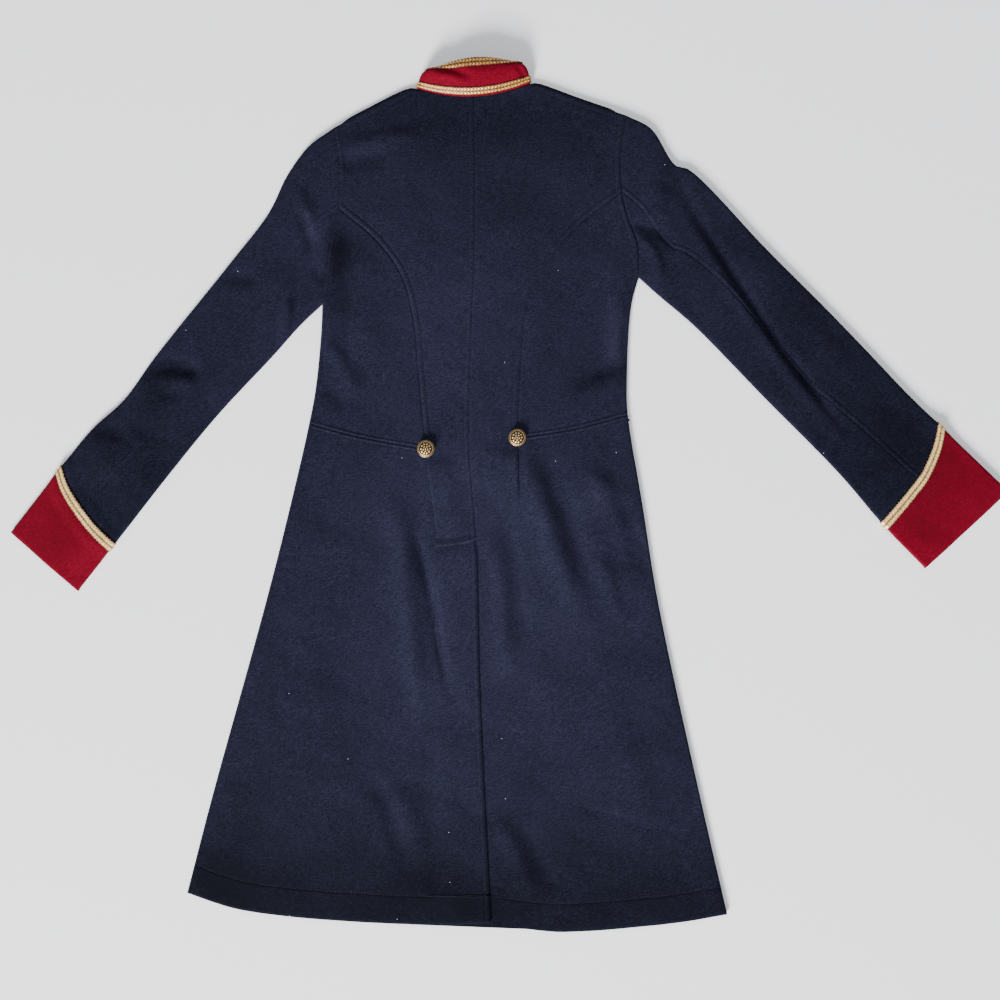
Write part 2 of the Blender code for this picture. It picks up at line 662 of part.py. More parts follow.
def roll_share(side, along):
    """The rolled edge as a share of the sleeve's width at each point along it."""
    widths = [lengths(LINES[side][name])[-1] for name in ("armhole", "braid", "cuff_end")]
    return ROLL / np.interp(along, [0, 1, 2], widths)


def sleeve_wall(name, side, legs_at, along, finish, **how):
    """A piece that folds over the sleeve's edges; legs_at gives its way across at each row."""
    plan = sleeve_plan(side)
    columns = count(legs_at(np.zeros(1)))

    def surface(c, r):
        v = travel(along, r)[0]
        u, upper = travel(legs_at(v), c)
        points = plan(u, v)
        height = np.where(upper, upper_face(points), lower_face(points))
        return np.concatenate([points, height[..., None]], axis=-1)

    return wall(name, surface, columns, count(along), finish, side, over_seam=(0, -1), **how)


SLEEVE_GAP = SEAM_GAP / 2 / SLEEVE_WIDTH
ALONG_SLEEVE = (Leg(SEAM_GAP / 2 / SLEEVE_LENGTH, 1 - HIDDEN_GAP / 2 / SLEEVE_LENGTH, 12, "even"),)


def sleeve_upper(name, side):
    """From the back seam over the outer edge to the front seam underneath."""
    def legs_at(v):
        roll = roll_share(side, v)
        return (Leg(seam_share(side, v) + SLEEVE_GAP, 1 - roll, ARMHOLE_STEPS, "even"),
                Leg(1 - roll, 1, ROLL_STEPS, "to_edge"), Leg(1, 1 - roll, ROLL_STEPS, "from_edge", False),
                Leg(1 - roll, FRONT_SEAM_SHARE + SLEEVE_GAP, 5, "even", False))

    return sleeve_wall(name, side, legs_at, ALONG_SLEEVE, "navy_cloth")


def sleeve_under(name, side):
    """From the front seam underneath over the inner edge to the back seam."""
    def legs_at(v):
        roll = roll_share(side, v)
        return (Leg(FRONT_SEAM_SHARE - SLEEVE_GAP, roll, 3, "even", False),
                Leg(roll, 0, ROLL_STEPS, "to_edge", False), Leg(0, roll, ROLL_STEPS, "from_edge"),
                Leg(roll, seam_share(side, v) - SLEEVE_GAP, SIDE_STEPS, "even"))

    return sleeve_wall(name, side, legs_at, ALONG_SLEEVE, "navy_cloth")


def band_legs(side):
    """Once round the sleeve end, from and to a seam underneath."""
    def legs_at(v):
        roll = roll_share(side, v)
        return (Leg(FRONT_SEAM_SHARE - SLEEVE_GAP, roll, 2, "even", False),
                Leg(roll, 0, ROLL_STEPS, "to_edge", False), Leg(0, roll, ROLL_STEPS, "from_edge"),
                Leg(roll, 1 - roll, 8, "even"),
                Leg(1 - roll, 1, ROLL_STEPS, "to_edge"), Leg(1, 1 - roll, ROLL_STEPS, "from_edge", False),
                Leg(1 - roll, FRONT_SEAM_SHARE + SLEEVE_GAP, 4, "even", False))

    return legs_at


def cuff(name, side):
    along = (Leg(1 + HIDDEN_GAP / 2 / CUFF_DEPTH, 2, 4, "even"),)
    return sleeve_wall(name, side, band_legs(side), along, "red_cloth")


def cuff_braid(name, side):
    """Gold braid over the seam between sleeve and cuff."""
    along = (Leg(1 - BRAID_WIDTH / 2 / SLEEVE_LENGTH, 1, 1, "even"),
             Leg(1, 1 + BRAID_WIDTH / 2 / CUFF_DEPTH, 1, "even"))
    return sleeve_wall(name, side, band_legs(side), along, "gold_braid", thickness=BRAID, outset=BRAID_RISE)


# Collar

COLLAR_EDGE = 0.10
COLLAR_GAP = HIDDEN_GAP / 2 / NECK_HALF_WIDTH
COLLAR_LEGS = (
    Leg(-COLLAR_GAP, COLLAR_EDGE - 1, 5, "even", False),
    Leg(COLLAR_EDGE - 1, -1, ROLL_STEPS, "to_edge", False),
    Leg(-1, COLLAR_EDGE - 1, ROLL_STEPS, "from_edge"),
    Leg(COLLAR_EDGE - 1, 1 - COLLAR_EDGE, 12, "even"),
    Leg(1 - COLLAR_EDGE, 1, ROLL_STEPS, "to_edge"),
    Leg(1, 1 - COLLAR_EDGE, ROLL_STEPS, "from_edge", False),
    Leg(1 - COLLAR_EDGE, COLLAR_GAP, 5, "even", False),
)


def collar_surface(first, last, rows):
    """The stand collar's outside, once round from the centre front, between two shares of its height."""
    shares = [ring.share for ring in COLLAR]

    def surface(c, r):
        share = first + (last - first) * r / rows
        half_width, back_y, side_y, front_y, crown, brow, side_z = (
            np.interp(share, shares, [getattr(ring, name) for ring in COLLAR]) for name in Ring._fields[1:])
        side, upper = travel(COLLAR_LEGS, c)
        inward = 1 - side**2
        dip = np.where(upper, (back_y - side_y) * inward, (front_y - side_y) * inward**FRONT_NECK_BEND)
        y = side_y + dip + NECK_TILT * side
        away = half_width * (1 - np.abs(side))
        over = side_z + rounded(brow + (crown - brow) * inward - side_z, away)
        below = side_z - rounded(side_z - BRAID_RISE, away)
        return np.stack([half_width * side, y, np.where(upper, over, below)], axis=-1)

    return surface


def collar(name):
    return wall(name, collar_surface(0, 1, 5), count(COLLAR_LEGS), 5, "red_cloth", -1)


def collar_braid(name, first, last):
    """Braid round the collar's outside, between two shares of its height."""
    surface = collar_surface(first, last, 2)
    return wall(name, surface, count(COLLAR_LEGS), 2, "gold_braid", -1, BRAID, BRAID_RISE)


# Buttons

Turned = namedtuple("Turned", "radius height")
BUTTON_PROFILE = (
    Turned(0.00, 1.00), Turned(0.30, 0.97), Turned(0.60, 0.86), Turned(0.82, 0.68), Turned(0.92, 0.60),
    Turned(1.00, 0.50), Turned(0.96, 0.38), Turned(0.60, 0.30), Turned(0.34, 0.26), Turned(0.34, 0.00),
    Turned(0.00, 0.00),
)


def button(name, side):
    """A domed metal button on its shank, sewn on where the princess, waist and pleat seams meet."""
    x, y = LINES[side]["princess"][-1]
    radius = BUTTON_DIAMETER / 2
    turns = np.linspace(0, math.tau, 16)
    around = np.stack([x + radius * np.cos(turns), y + radius * np.sin(turns)], axis=1)
    foot = float((upper_face(around) + lap_rise(around, side)).max()) + SEAM_GAP
    bm = bmesh.new()
    points = [bm.verts.new((p.radius * radius, 0, p.height * BUTTON_HEIGHT)) for p in BUTTON_PROFILE]
    edges = [bm.edges.new(pair) for pair in zip(points, points[1:])]
    bmesh.ops.spin(bm, geom=points + edges, axis=(0, 0, 1), angle=math.tau, steps=20, use_merge=True)
    bmesh.ops.remove_doubles(bm, verts=bm.verts, dist=1e-5)
    bmesh.ops.translate(bm, verts=bm.verts, vec=(x, y, foot))
    return finished(name, bm, "brass")


def rest_on_origin():
    """Moves every mesh so that the origin is the middle of the coat's box, at its lowest level."""
    things = list(bpy.context.scene.collection.objects)
    corners = np.array([v.co for thing in things for v in thing.data.vertices])
    low, high = corners.min(0), corners.max(0)
    middle = Vector((*((low + high) / 2)[:2], low[2]))
    for thing in things:
        for vertex in thing.data.vertices:
            vertex.co -= middle


for old in list(bpy.data.objects):
    bpy.data.objects.remove(old)
MATERIALS = {name: material(name, *values) for name, values in COLOURS.items()}

for word, side in SIDES.items():
    back_centre(f"back_centre_{word}", side)
    back_side(f"back_side_{word}", side)
    skirt(f"skirt_{word}", side)
    front(f"front_{word}", side)
    sleeve_upper(f"sleeve_upper_{word}", side)
    sleeve_under(f"sleeve_under_{word}", side)
    cuff(f"cuff_{word}", side)
    cuff_braid(f"cuff_braid_{word}", side)
    button(f"button_{word}", side)
vent_underlap("vent_underlap")
collar("collar")
for word, (first, last) in COLLAR_BRAIDS.items():
    collar_braid(f"collar_braid_{word}", first, last)
rest_on_origin()
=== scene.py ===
"""A knee-length military frock coat of navy felted cloth, with red collar and cuffs, laid out face down.

Plan measures are metres from the nape, where the collar seam crosses the centre back seam: +X to the
right as the coat lies and +Y towards the collar.  Heights are over the surface that the coat lies on.
"""

import math
from collections import namedtuple
from functools import partial

import bmesh
import bpy
import numpy as np
from mathutils import Matrix, Vector


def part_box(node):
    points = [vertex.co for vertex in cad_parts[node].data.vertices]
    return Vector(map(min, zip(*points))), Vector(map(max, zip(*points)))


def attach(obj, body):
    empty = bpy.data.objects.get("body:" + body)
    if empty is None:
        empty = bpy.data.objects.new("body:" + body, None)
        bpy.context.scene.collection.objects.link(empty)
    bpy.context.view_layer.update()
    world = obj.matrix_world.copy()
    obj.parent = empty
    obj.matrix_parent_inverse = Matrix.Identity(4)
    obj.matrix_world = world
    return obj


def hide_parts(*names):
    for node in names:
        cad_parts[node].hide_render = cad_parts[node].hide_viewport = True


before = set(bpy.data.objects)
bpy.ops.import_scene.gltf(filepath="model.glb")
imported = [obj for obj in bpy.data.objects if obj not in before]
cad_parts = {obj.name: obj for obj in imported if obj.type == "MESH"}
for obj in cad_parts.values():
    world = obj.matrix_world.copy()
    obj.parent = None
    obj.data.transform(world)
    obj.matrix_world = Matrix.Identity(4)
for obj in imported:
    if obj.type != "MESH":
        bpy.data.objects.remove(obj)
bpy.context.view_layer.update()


# Centre backs: two long pieces of navy felted cloth, each cut in one from neck to hem and sewn together
# down the middle, with the allowance turned to the left and topstitched.  Below the vent's top the left
# one laps over the right, and under each button the outer edge folds over the skirt as a pleat.

LEFT, RIGHT = -1, 1
WORD = {LEFT: "left", RIGHT: "right"}
NAPE = np.array([-0.0445, 0.49686, 0.0])
CLOTH = 0.0020
SPAN = 12


def lath(points, per_span=SPAN):
    """A dense line through the points, smooth as a bent lath."""
    p = np.array(points, float)
    knots = np.concatenate([[0], np.cumsum(np.linalg.norm(np.diff(p, axis=0), axis=1) ** 0.5)])
    slopes = np.gradient(p, knots, axis=0)
    t = np.linspace(0, 1, per_span, endpoint=False)[:, None]
    spans = []
    for a, b, slope_a, slope_b, span in zip(p, p[1:], slopes, slopes[1:], np.diff(knots)):
        step, m, n = b - a, slope_a * span, slope_b * span
        spans.append(a + m * t + (3 * step - 2 * m - n) * t**2 + (m + n - 2 * step) * t**3)
    return np.vstack([*spans, p[-1:]])


def pair(*rows):
    """A line on each side of the coat; a row is left x, left y, right x, right y."""
    table = np.array(rows)
    return {LEFT: lath(table[:, :2]), RIGHT: lath(table[:, 2:])}


# Where seams meet.
SHOULDER_POINT = (-0.1750, -0.0375, 0.1910, -0.0225)
BLADE_POINT = (-0.1690, -0.1390, 0.1850, -0.1175)
UNDERARM = (-0.1900, -0.2590, 0.2060, -0.2250)
SIDE_WAIST = (-0.2065, -0.4080, 0.1925, -0.3970)
BACK_WAIST = (-0.0600, -0.4400, 0.0540, -0.4260)
shoulder = pair(
    (-0.0725, 0.0095, 0.0725, 0.0160),
    (-0.0800, 0.0100, 0.0770, 0.0165),
    (-0.1350, -0.0160, 0.1360, -0.0040),
    SHOULDER_POINT,
)
armhole = pair(
    SHOULDER_POINT,
    (-0.1675, -0.0850, 0.1840, -0.0660),
    BLADE_POINT,
    (-0.1765, -0.1700, 0.1930, -0.1520),
    (-0.1830, -0.2080, 0.2050, -0.1850),
    UNDERARM,
)
side_edge = pair(
    UNDERARM,
    (-0.1915, -0.2950, 0.1965, -0.2620),
    (-0.1985, -0.3650, 0.1912, -0.3600),
    SIDE_WAIST,
    (-0.2300, -0.5100, 0.2110, -0.5100),
    (-0.2600, -0.6290, 0.2300, -0.6290),
    (-0.3290, -0.8790, 0.2840, -0.8790),
    (-0.3590, -0.9950, 0.3170, -1.0220),
)
princess = pair(
    BLADE_POINT,
    (-0.1210, -0.1800, 0.1340, -0.1570),
    (-0.0900, -0.2240, 0.0950, -0.2010),
    (-0.0750, -0.2810, 0.0670, -0.2600),
    (-0.0690, -0.3450, 0.0590, -0.3300),
    BACK_WAIST,
)
waist = pair(
    SIDE_WAIST,
    (-0.1470, -0.4240, 0.1240, -0.4150),
    BACK_WAIST,
)
pleat = pair(
    BACK_WAIST,
    (-0.0590, -0.4600, 0.0548, -0.4600),
    (-0.0540, -0.4950, 0.0558, -0.4950),
    (-0.0492, -0.5280, 0.0572, -0.5280),
    (-0.0480, -0.6300, 0.0680, -0.6300),
    (-0.0700, -1.0340, 0.1050, -1.0435),
)
centre_back = lath([
    (0.0000, 0.0000), (0.0010, -0.1700), (-0.0060, -0.4250),
    (0.0025, -0.5550), (0.0070, -0.7420), (0.0210, -1.0320),
])
hem = {
    LEFT: lath([(-0.3590, -0.9950), (-0.3000, -1.0140), (-0.2110, -1.0260), (-0.0700, -1.0340),
                (0.0210, -1.0320)]),
    RIGHT: lath([(0.3170, -1.0220), (0.2390, -1.0340), (0.1050, -1.0435), (0.0210, -1.0360)]),
}
NECK_HALF_WIDTH = 0.0705
NECK_RISE = 0.0135
NECK_TILT = 0.0035
VENT_TOP = -0.555
vent_stitch = lath([(-0.0570, -0.5630), (-0.0040, -0.5555), (0.0025, -0.5520)])


def lengths(line):
    return np.concatenate([[0], np.cumsum(np.linalg.norm(np.diff(line, axis=0), axis=1))])


def at(line, share):
    """The points at these shares of the line's length."""
    along = lengths(line)
    where = np.clip(share, 0, 1) * along[-1]
    return np.stack([np.interp(where, along, line[:, k]) for k in (0, 1)], axis=-1)


def cut(line, first, last):
    """The stretch of a line between two shares of its length."""
    return at(line, np.linspace(first, last, 60))


def joined(*lines):
    """Lines end to end, and the share of the length at which each one ends."""
    whole = np.vstack([lines[0], *[line[1:] for line in lines[1:]]])
    ends = np.cumsum([lengths(line)[-1] for line in lines])
    return whole, ends / ends[-1]


def share_nearest(line, point):
    fine = np.linspace(0, 1, 2001)
    return fine[np.argmin(np.linalg.norm(at(line, fine) - np.array(point), axis=1))]


def unit(vectors):
    return vectors / np.maximum(np.linalg.norm(vectors, axis=-1, keepdims=True), 1e-12)


def beside(line, away):
    """The line moved sideways, to the right of its run where away is positive."""
    run = unit(np.gradient(line, axis=0))
    return line + away * np.stack([run[:, 1], -run[:, 0]], axis=1)


def patch(top, bottom, left, right):
    """The plan point at (across, down), both from 0 to 1, inside four seam lines."""
    a, b, c, d = top[0], top[-1], bottom[0], bottom[-1]

    def point(across, down):
        across, down = np.broadcast_arrays(across, down)
        u, v = across[..., None], down[..., None]
        sideways = (1 - u) * at(left, down) + u * at(right, down)
        lengthways = (1 - v) * at(top, across) + v * at(bottom, across)
        corners = (1 - u) * ((1 - v) * a + v * c) + u * ((1 - v) * b + v * d)
        return sideways + lengthways - corners

    return point


def distance(points, lines):
    """How far each plan point is from the nearest of some lines."""
    flat = points.reshape(-1, 2)
    best = np.full(len(flat), np.inf)
    for line in lines:
        start, step = line[:-1], np.diff(line, axis=0)
        squares = np.maximum((step**2).sum(1), 1e-18)
        share = np.clip(((flat[:, None] - start) * step).sum(2) / squares, 0, 1)
        gaps = np.linalg.norm(flat[:, None] - start - share[..., None] * step, axis=2)
        best = np.minimum(best, gaps.min(1))
    return best.reshape(points.shape[:-1])


def near(points, line, reach, power=2):
    """1 on a line, and fading out within about its reach."""
    return np.exp(-((distance(points, [line]) / reach) ** power))


def ease(x, low, high):
    """0 below low, 1 above high, and a smooth step between."""
    t = np.clip((x - low) / (high - low), 0, 1)
    return t * t * (3 - 2 * t)


# The folds that the cloth lies in: a ridge where height is positive, a trough where it is negative.
Fold = namedtuple("Fold", "start_x start_y end_x end_y bow width height")


def fold_table(*rows):
    return [Fold(*row) for row in rows]


body_folds = fold_table(
    # left shoulder
    (-0.104, -0.047, -0.048, -0.019, 0.000, 0.010, -0.0014),
    (-0.172, -0.070, -0.064, -0.046, 0.005, 0.010, 0.0036),
    (-0.174, -0.088, -0.100, -0.072, 0.003, 0.009, -0.0032),
    # left armhole and flank
    (-0.166, -0.135, -0.160, -0.280, -0.002, 0.013, -0.0040),
    (-0.146, -0.165, -0.134, -0.335, 0.000, 0.022, 0.0034),
    (-0.190, -0.300, -0.140, -0.380, 0.003, 0.010, 0.0032),
    (-0.194, -0.352, -0.156, -0.396, 0.002, 0.010, -0.0022),
    # right flank, waist and princess seam
    (0.187, -0.235, 0.177, -0.372, -0.003, 0.011, 0.0046),
    (0.196, -0.330, 0.116, -0.364, -0.003, 0.010, -0.0036),
    (0.064, -0.262, 0.056, -0.372, 0.002, 0.012, -0.0014),
    # left pleat
    (-0.062, -0.455, -0.076, -0.600, -0.002, 0.007, -0.0010),
    (-0.096, -0.480, -0.062, -0.790, -0.002, 0.015, 0.0068),
    (-0.074, -0.530, -0.030, -0.765, 0.003, 0.0065, -0.0046),
    # right pleat
    (0.052, -0.420, 0.130, -0.650, 0.002, 0.017, 0.0068),
    (0.084, -0.440, 0.162, -0.660, 0.002, 0.016, -0.0032),
    # right hip and thigh
    (0.138, -0.455, 0.204, -0.575, 0.004, 0.014, 0.0044),
    (0.164, -0.485, 0.218, -0.602, 0.004, 0.013, -0.0034),
    (0.152, -0.565, 0.178, -0.660, 0.003, 0.011, 0.0024),
    (0.196, -0.540, 0.216, -0.582, 0.002, 0.006, -0.0012),
    # vent
    (0.024, -0.530, 0.040, -0.740, 0.004, 0.012, 0.0038),
    (0.046, -0.540, 0.062, -0.720, 0.003, 0.012, -0.0018),
    # right and left knee
    (0.140, -0.660, 0.220, -0.940, 0.000, 0.034, 0.0028),
    (-0.185, -0.560, -0.235, -0.930, 0.000, 0.040, 0.0028),
    # left hem
    (-0.128, -0.838, -0.086, -0.968, 0.004, 0.010, -0.0030),
    (-0.098, -0.852, -0.062, -0.975, 0.004, 0.014, 0.0030),
    # right hem and lap
    (0.022, -0.890, 0.070, -1.010, 0.010, 0.014, 0.0034),
    (0.044, -0.900, 0.102, -1.005, 0.006, 0.016, -0.0024),
    (0.108, -0.878, 0.284, -0.926, -0.004, 0.005, -0.0009),
)
FOLD_FADE = 0.30


def fold_height(points, folds):
    """Soft ridges and troughs along bowed lines, which fade out at both ends."""
    height = np.zeros(points.shape[:-1])
    for fold in folds:
        start, end = np.array([fold.start_x, fold.start_y]), np.array([fold.end_x, fold.end_y])
        run = end - start
        length = np.linalg.norm(run)
        along = ((points - start) @ run) / length**2
        aside = (points - start) @ np.array([-run[1], run[0]]) / length
        inside = np.clip(along, 0, 1)
        aside = aside - fold.bow * 4 * inside * (1 - inside)
        fade = ease(along, 0, FOLD_FADE) * (1 - ease(along, 1 - FOLD_FADE, 1))
        height = height + fold.height * fade * np.exp(-((aside / fold.width) ** 2))
    return height


# Slack in the felted cloth between the folds: shallow waves of many directions.
SHORTEST_WAVE, LONGEST_WAVE, WAVE_COUNT, WAVE_SLOPE = 0.030, 0.160, 22, 0.0016
wave_source = np.random.default_rng(31)
waves = []
for wave_length in np.geomspace(SHORTEST_WAVE, LONGEST_WAVE, WAVE_COUNT):
    turn, phase = wave_source.uniform(0, math.tau, 2)
    run = math.tau / wave_length * np.array([math.cos(turn), math.sin(turn)])
    waves.append((run, phase, WAVE_SLOPE * wave_length))


def slack(points):
    return sum(size * np.sin(points @ run + phase) for run, phase, size in waves)


EDGE_HEIGHT = 0.0030
FLAT_HEIGHT = 0.0060
CROWN, CROWN_REACH = 0.0019, 0.045
LEAST_HEIGHT, SOFT_LANDING = 0.0044, 0.0008
EDGE_ROUND = 1.1
FOLD_INSET, SEWN_INSET = 0.012, 0.004
ROLL = EDGE_ROUND * (FLAT_HEIGHT - EDGE_HEIGHT)
body_edges = [line[side] for line in (shoulder, side_edge) for side in WORD]


def rounded(height, away):
    """Brings a face's height over the edge down to nothing at a folded edge, as a quarter round."""
    depth = np.clip(away / (EDGE_ROUND * np.abs(height)), 0, 1)
    return height * np.sqrt(1 - (1 - depth) ** 2)


def upper_face(points, edges, folds, relief=0.0):
    """Height of the face that looks up, over the folds and what the sewing adds."""
    away = distance(points, edges)
    face = FLAT_HEIGHT + CROWN * (1 - np.exp(-away / CROWN_REACH))
    face = face + (fold_height(points, folds) + slack(points)) * ease(away, 0, FOLD_INSET)
    spare = face - LEAST_HEIGHT
    face = LEAST_HEIGHT + (spare + np.sqrt(spare**2 + SOFT_LANDING**2)) / 2
    face = face + relief * ease(away, 0, SEWN_INSET)
    return EDGE_HEIGHT + rounded(face - EDGE_HEIGHT, away)


# Sewing: a seam sinks, the turned allowance beside it stands proud, and each row of stitches draws in.
SEAM_DEPTH, SEAM_WIDTH = 0.0011, 0.0012
STITCH_DEPTH, STITCH_WIDTH = 0.0006, 0.0010
ALLOWANCE = 0.0005
ARMHOLE_STITCH, PRINCESS_STITCH, WAIST_STITCH = 0.0064, 0.0070, 0.0044
CENTRE_STITCH, SHOULDER_STITCH, HEM_STITCH = 0.0060, 0.0075, 0.0360
ARMHOLE_PULL, PRINCESS_PULL = {LEFT: 0.45, RIGHT: 1.0}, {LEFT: 1.0, RIGHT: 0.4}
CENTRE_PULL, VENT_PULL, WAIST_PULL, LOWER_WAIST_PULL = 0.6, 0.5, 0.7, 0.8
SHOULDER_PULL, HEM_PULL, TIGHT_PULL = 0.6, 0.5, 0.9
FACING_HALF_WIDTH, FACING_PLUMP = 0.0013, 1.6
TIGHT_PRINCESS = ((0.0, 0.50), (0.86, 1.0))
centre_seam = centre_back[centre_back[:, 1] > VENT_TOP]
facing_edge = np.linspace((-0.0540, -0.9975), (0.0175, -0.9975), 30)
body_seams = [(centre_seam, CENTRE_PULL)]
body_rows = [(beside(centre_back, CENTRE_STITCH), CENTRE_PULL), (vent_stitch, VENT_PULL)]
body_bands = [(beside(centre_seam, CENTRE_STITCH / 2), CENTRE_STITCH / 2, CENTRE_PULL),
              (facing_edge, FACING_HALF_WIDTH, FACING_PLUMP)]
for side in WORD:
    for line, away, pull in ((armhole, ARMHOLE_STITCH, ARMHOLE_PULL[side]),
                             (princess, PRINCESS_STITCH, PRINCESS_PULL[side]),
                             (waist, WAIST_STITCH, WAIST_PULL)):
        body_seams.append((line[side], pull))
        body_rows.append((beside(line[side], side * away), pull))
        body_bands.append((beside(line[side], side * away / 2), away / 2, 1.0))
    body_rows.append((beside(waist[side], -side * WAIST_STITCH), LOWER_WAIST_PULL))
    body_bands.append((beside(waist[side], -side * WAIST_STITCH / 2), WAIST_STITCH / 2, 1.0))
    body_rows.append((beside(shoulder[side], side * SHOULDER_STITCH), SHOULDER_PULL))
    body_rows.append((beside(hem[side], side * HEM_STITCH), HEM_PULL))
for first, last in TIGHT_PRINCESS:
    stretch = cut(princess[RIGHT], first, last)
    body_seams.append((stretch, TIGHT_PULL))
    body_rows.append((beside(stretch, PRINCESS_STITCH), TIGHT_PULL))
SIDE_SEAM_INSET, SIDE_SEAM_DEPTH, SIDE_SEAM_WIDTH = 0.0055, 0.0007, 0.0012
left_side_seam = beside(side_edge[LEFT], -SIDE_SEAM_INSET)
HEM_RISE, HEM_STEP = 0.0004, 0.003


def sewn(points, seams, rows, bands):
    """What the sewing adds to the height; a seam or row is a line and how hard it draws in,
    and a band is a line, half its width and how far the turned cloth under it stands up."""
    drawn, stitched = np.zeros(points.shape[:-1]), np.zeros(points.shape[:-1])
    for line, pull in seams:
        drawn = np.maximum(drawn, pull * near(points, line, SEAM_WIDTH))
    for line, pull in rows:
        stitched = np.maximum(stitched, pull * near(points, line, STITCH_WIDTH))
    relief = -SEAM_DEPTH * drawn - STITCH_DEPTH * stitched
    for line, half, plump in bands:
        relief = relief + plump * ALLOWANCE * near(points, line, half, 4)
    return relief


TURN_DEPTH, TURN_WIDTH = 0.0013, 0.0016


def turned_down(points, line):
    """A folded cloth edge, which rounds down to the line."""
    return -TURN_DEPTH * near(points, line, TURN_WIDTH)


def over_hem(points):
    """1 over the turned-up hem and 0 above its row of stitches."""
    return 1 - ease(distance(points, [hem[LEFT], hem[RIGHT]]), HEM_STITCH - HEM_STEP, HEM_STITCH)


def body_height(points):
    """The back's outside, with its seams, its rows of stitches and the turned-up hem."""
    relief = sewn(points, body_seams, body_rows, body_bands)
    relief = relief - SIDE_SEAM_DEPTH * near(points, left_side_seam, SIDE_SEAM_WIDTH)
    relief = relief + HEM_RISE * over_hem(points)
    relief = relief + turned_down(points, np.vstack([hem[LEFT], hem[RIGHT][::-1]]))
    return upper_face(points, body_edges, body_folds, relief)


PLEAT_TOP, PLEAT_END = {LEFT: -0.470, RIGHT: -0.454}, {LEFT: -0.520, RIGHT: -0.478}
PLEAT_START, PLEAT_FADE, PLEAT_DEPTH = 0.024, 0.040, 0.016
HIDDEN_GAP = 0.0010
LAP_RISE, PLEAT_SPREAD, VENT_SPREAD = CLOTH + HIDDEN_GAP, 0.045, 0.032
VENT_LAP_WIDTH, VENT_LAP_START, VENT_EDGE_START = 0.040, 0.022, 0.006
vent_edge = centre_back[centre_back[:, 1] < VENT_TOP + VENT_EDGE_START]


def line_x(line, y):
    """Where a line that runs down the coat crosses each level."""
    return np.interp(-y, -line[:, 1], line[:, 0])


def pleat_hold(y, side):
    """How far the pleat is folded at each level: 1 where the centre back lies over the skirt."""
    return ease(PLEAT_TOP[side] - y, -PLEAT_START, 0) * (1 - ease(PLEAT_END[side] - y, 0, PLEAT_FADE))


def vent_rise(points, side):
    """How far the vent's lap lifts the cloth of the left side that lies over it."""
    if side == RIGHT:
        return np.zeros(points.shape[:-1])
    beside_vent = np.maximum(line_x(centre_back, points[..., 1]) - points[..., 0], 0)
    open_vent = ease(VENT_TOP - points[..., 1], -VENT_LAP_START / 2, VENT_LAP_START)
    return LAP_RISE * open_vent * (1 - ease(beside_vent, VENT_LAP_WIDTH, VENT_LAP_WIDTH + VENT_SPREAD))


def lap_rise(points, side):
    """How far the centre back is lifted by the pleat and, on the left, by the vent's lap."""
    x, y = points[..., 0], points[..., 1]
    beside_pleat = np.maximum(side * (line_x(pleat[side], y) - x), 0)
    folded = pleat_hold(y, side) * (1 - ease(beside_pleat, PLEAT_DEPTH, PLEAT_SPREAD))
    return np.maximum(LAP_RISE * folded, vent_rise(points, side))


VENT_STEP, VENT_STEP_REACH, VENT_STEP_FADE = 0.0013, 0.012, 0.003
VENT_STEP_FOOT, VENT_STEP_BROW = -0.0006, 0.0008


def vent_step(points):
    """The vent's lap fills the cloth out above its sewn top, and a small step drops to the stitches."""
    x, y = points[..., 0], points[..., 1]
    above = y - np.interp(x, vent_stitch[:, 0], vent_stitch[:, 1])
    first = vent_stitch[0, 0]
    between = ease(x, first - VENT_STEP_FADE, first + VENT_STEP_FADE) * (1 - ease(x, 0.0, VENT_STEP_FADE))
    step = ease(above, VENT_STEP_FOOT, VENT_STEP_BROW) * np.exp(-np.maximum(above, 0) / VENT_STEP_REACH)
    return VENT_STEP * between * step


def centre_back_height(points, side):
    height = body_height(points) + lap_rise(points, side)
    height = height + turned_down(points, pleat[side]) * pleat_hold(points[..., 1], side)
    if side == LEFT:
        height = height + turned_down(points, vent_edge) + vent_step(points)
    return height


def steps(*legs):
    """Shares of the grid's lines, leg by leg; a leg is (first, last, count, bunch), where first and last
    may differ by row, and bunch is 1 for lines close together at first, -1 for at last and 0 for even."""
    parts = []
    for first, last, count, bunch in legs:
        f = np.arange(count) / count
        f = {0: f, 1: 1 - np.cos(np.pi / 2 * f), -1: np.sin(np.pi / 2 * f)}[bunch]
        parts.append(np.atleast_2d(first + (np.asarray(last) - first) * f))
    parts.append(np.atleast_2d(legs[-1][1]))
    rows = max(len(part) for part in parts)
    return np.concatenate([np.broadcast_to(part, (rows, part.shape[1])) for part in parts], axis=1)


HEM_TOP, HEM_FOLD, HEM_LIP = 0.043, 0.030, 0.004


def hem_legs(first, count, long):
    """The grid's legs from a share of a piece's length down to its hem, closer at the stitches and fold."""
    top, fold, lip = (1 - away / long for away in (HEM_TOP, HEM_FOLD, HEM_LIP))
    return (first, top, count, 0), (top, fold, 13, 0), (fold, lip, 8, 0), (lip, 1, 6, -1)


def width_at(left, right, down):
    """How wide a piece is between two lines at each row."""
    return np.linalg.norm(at(right, down) - at(left, down), axis=-1)


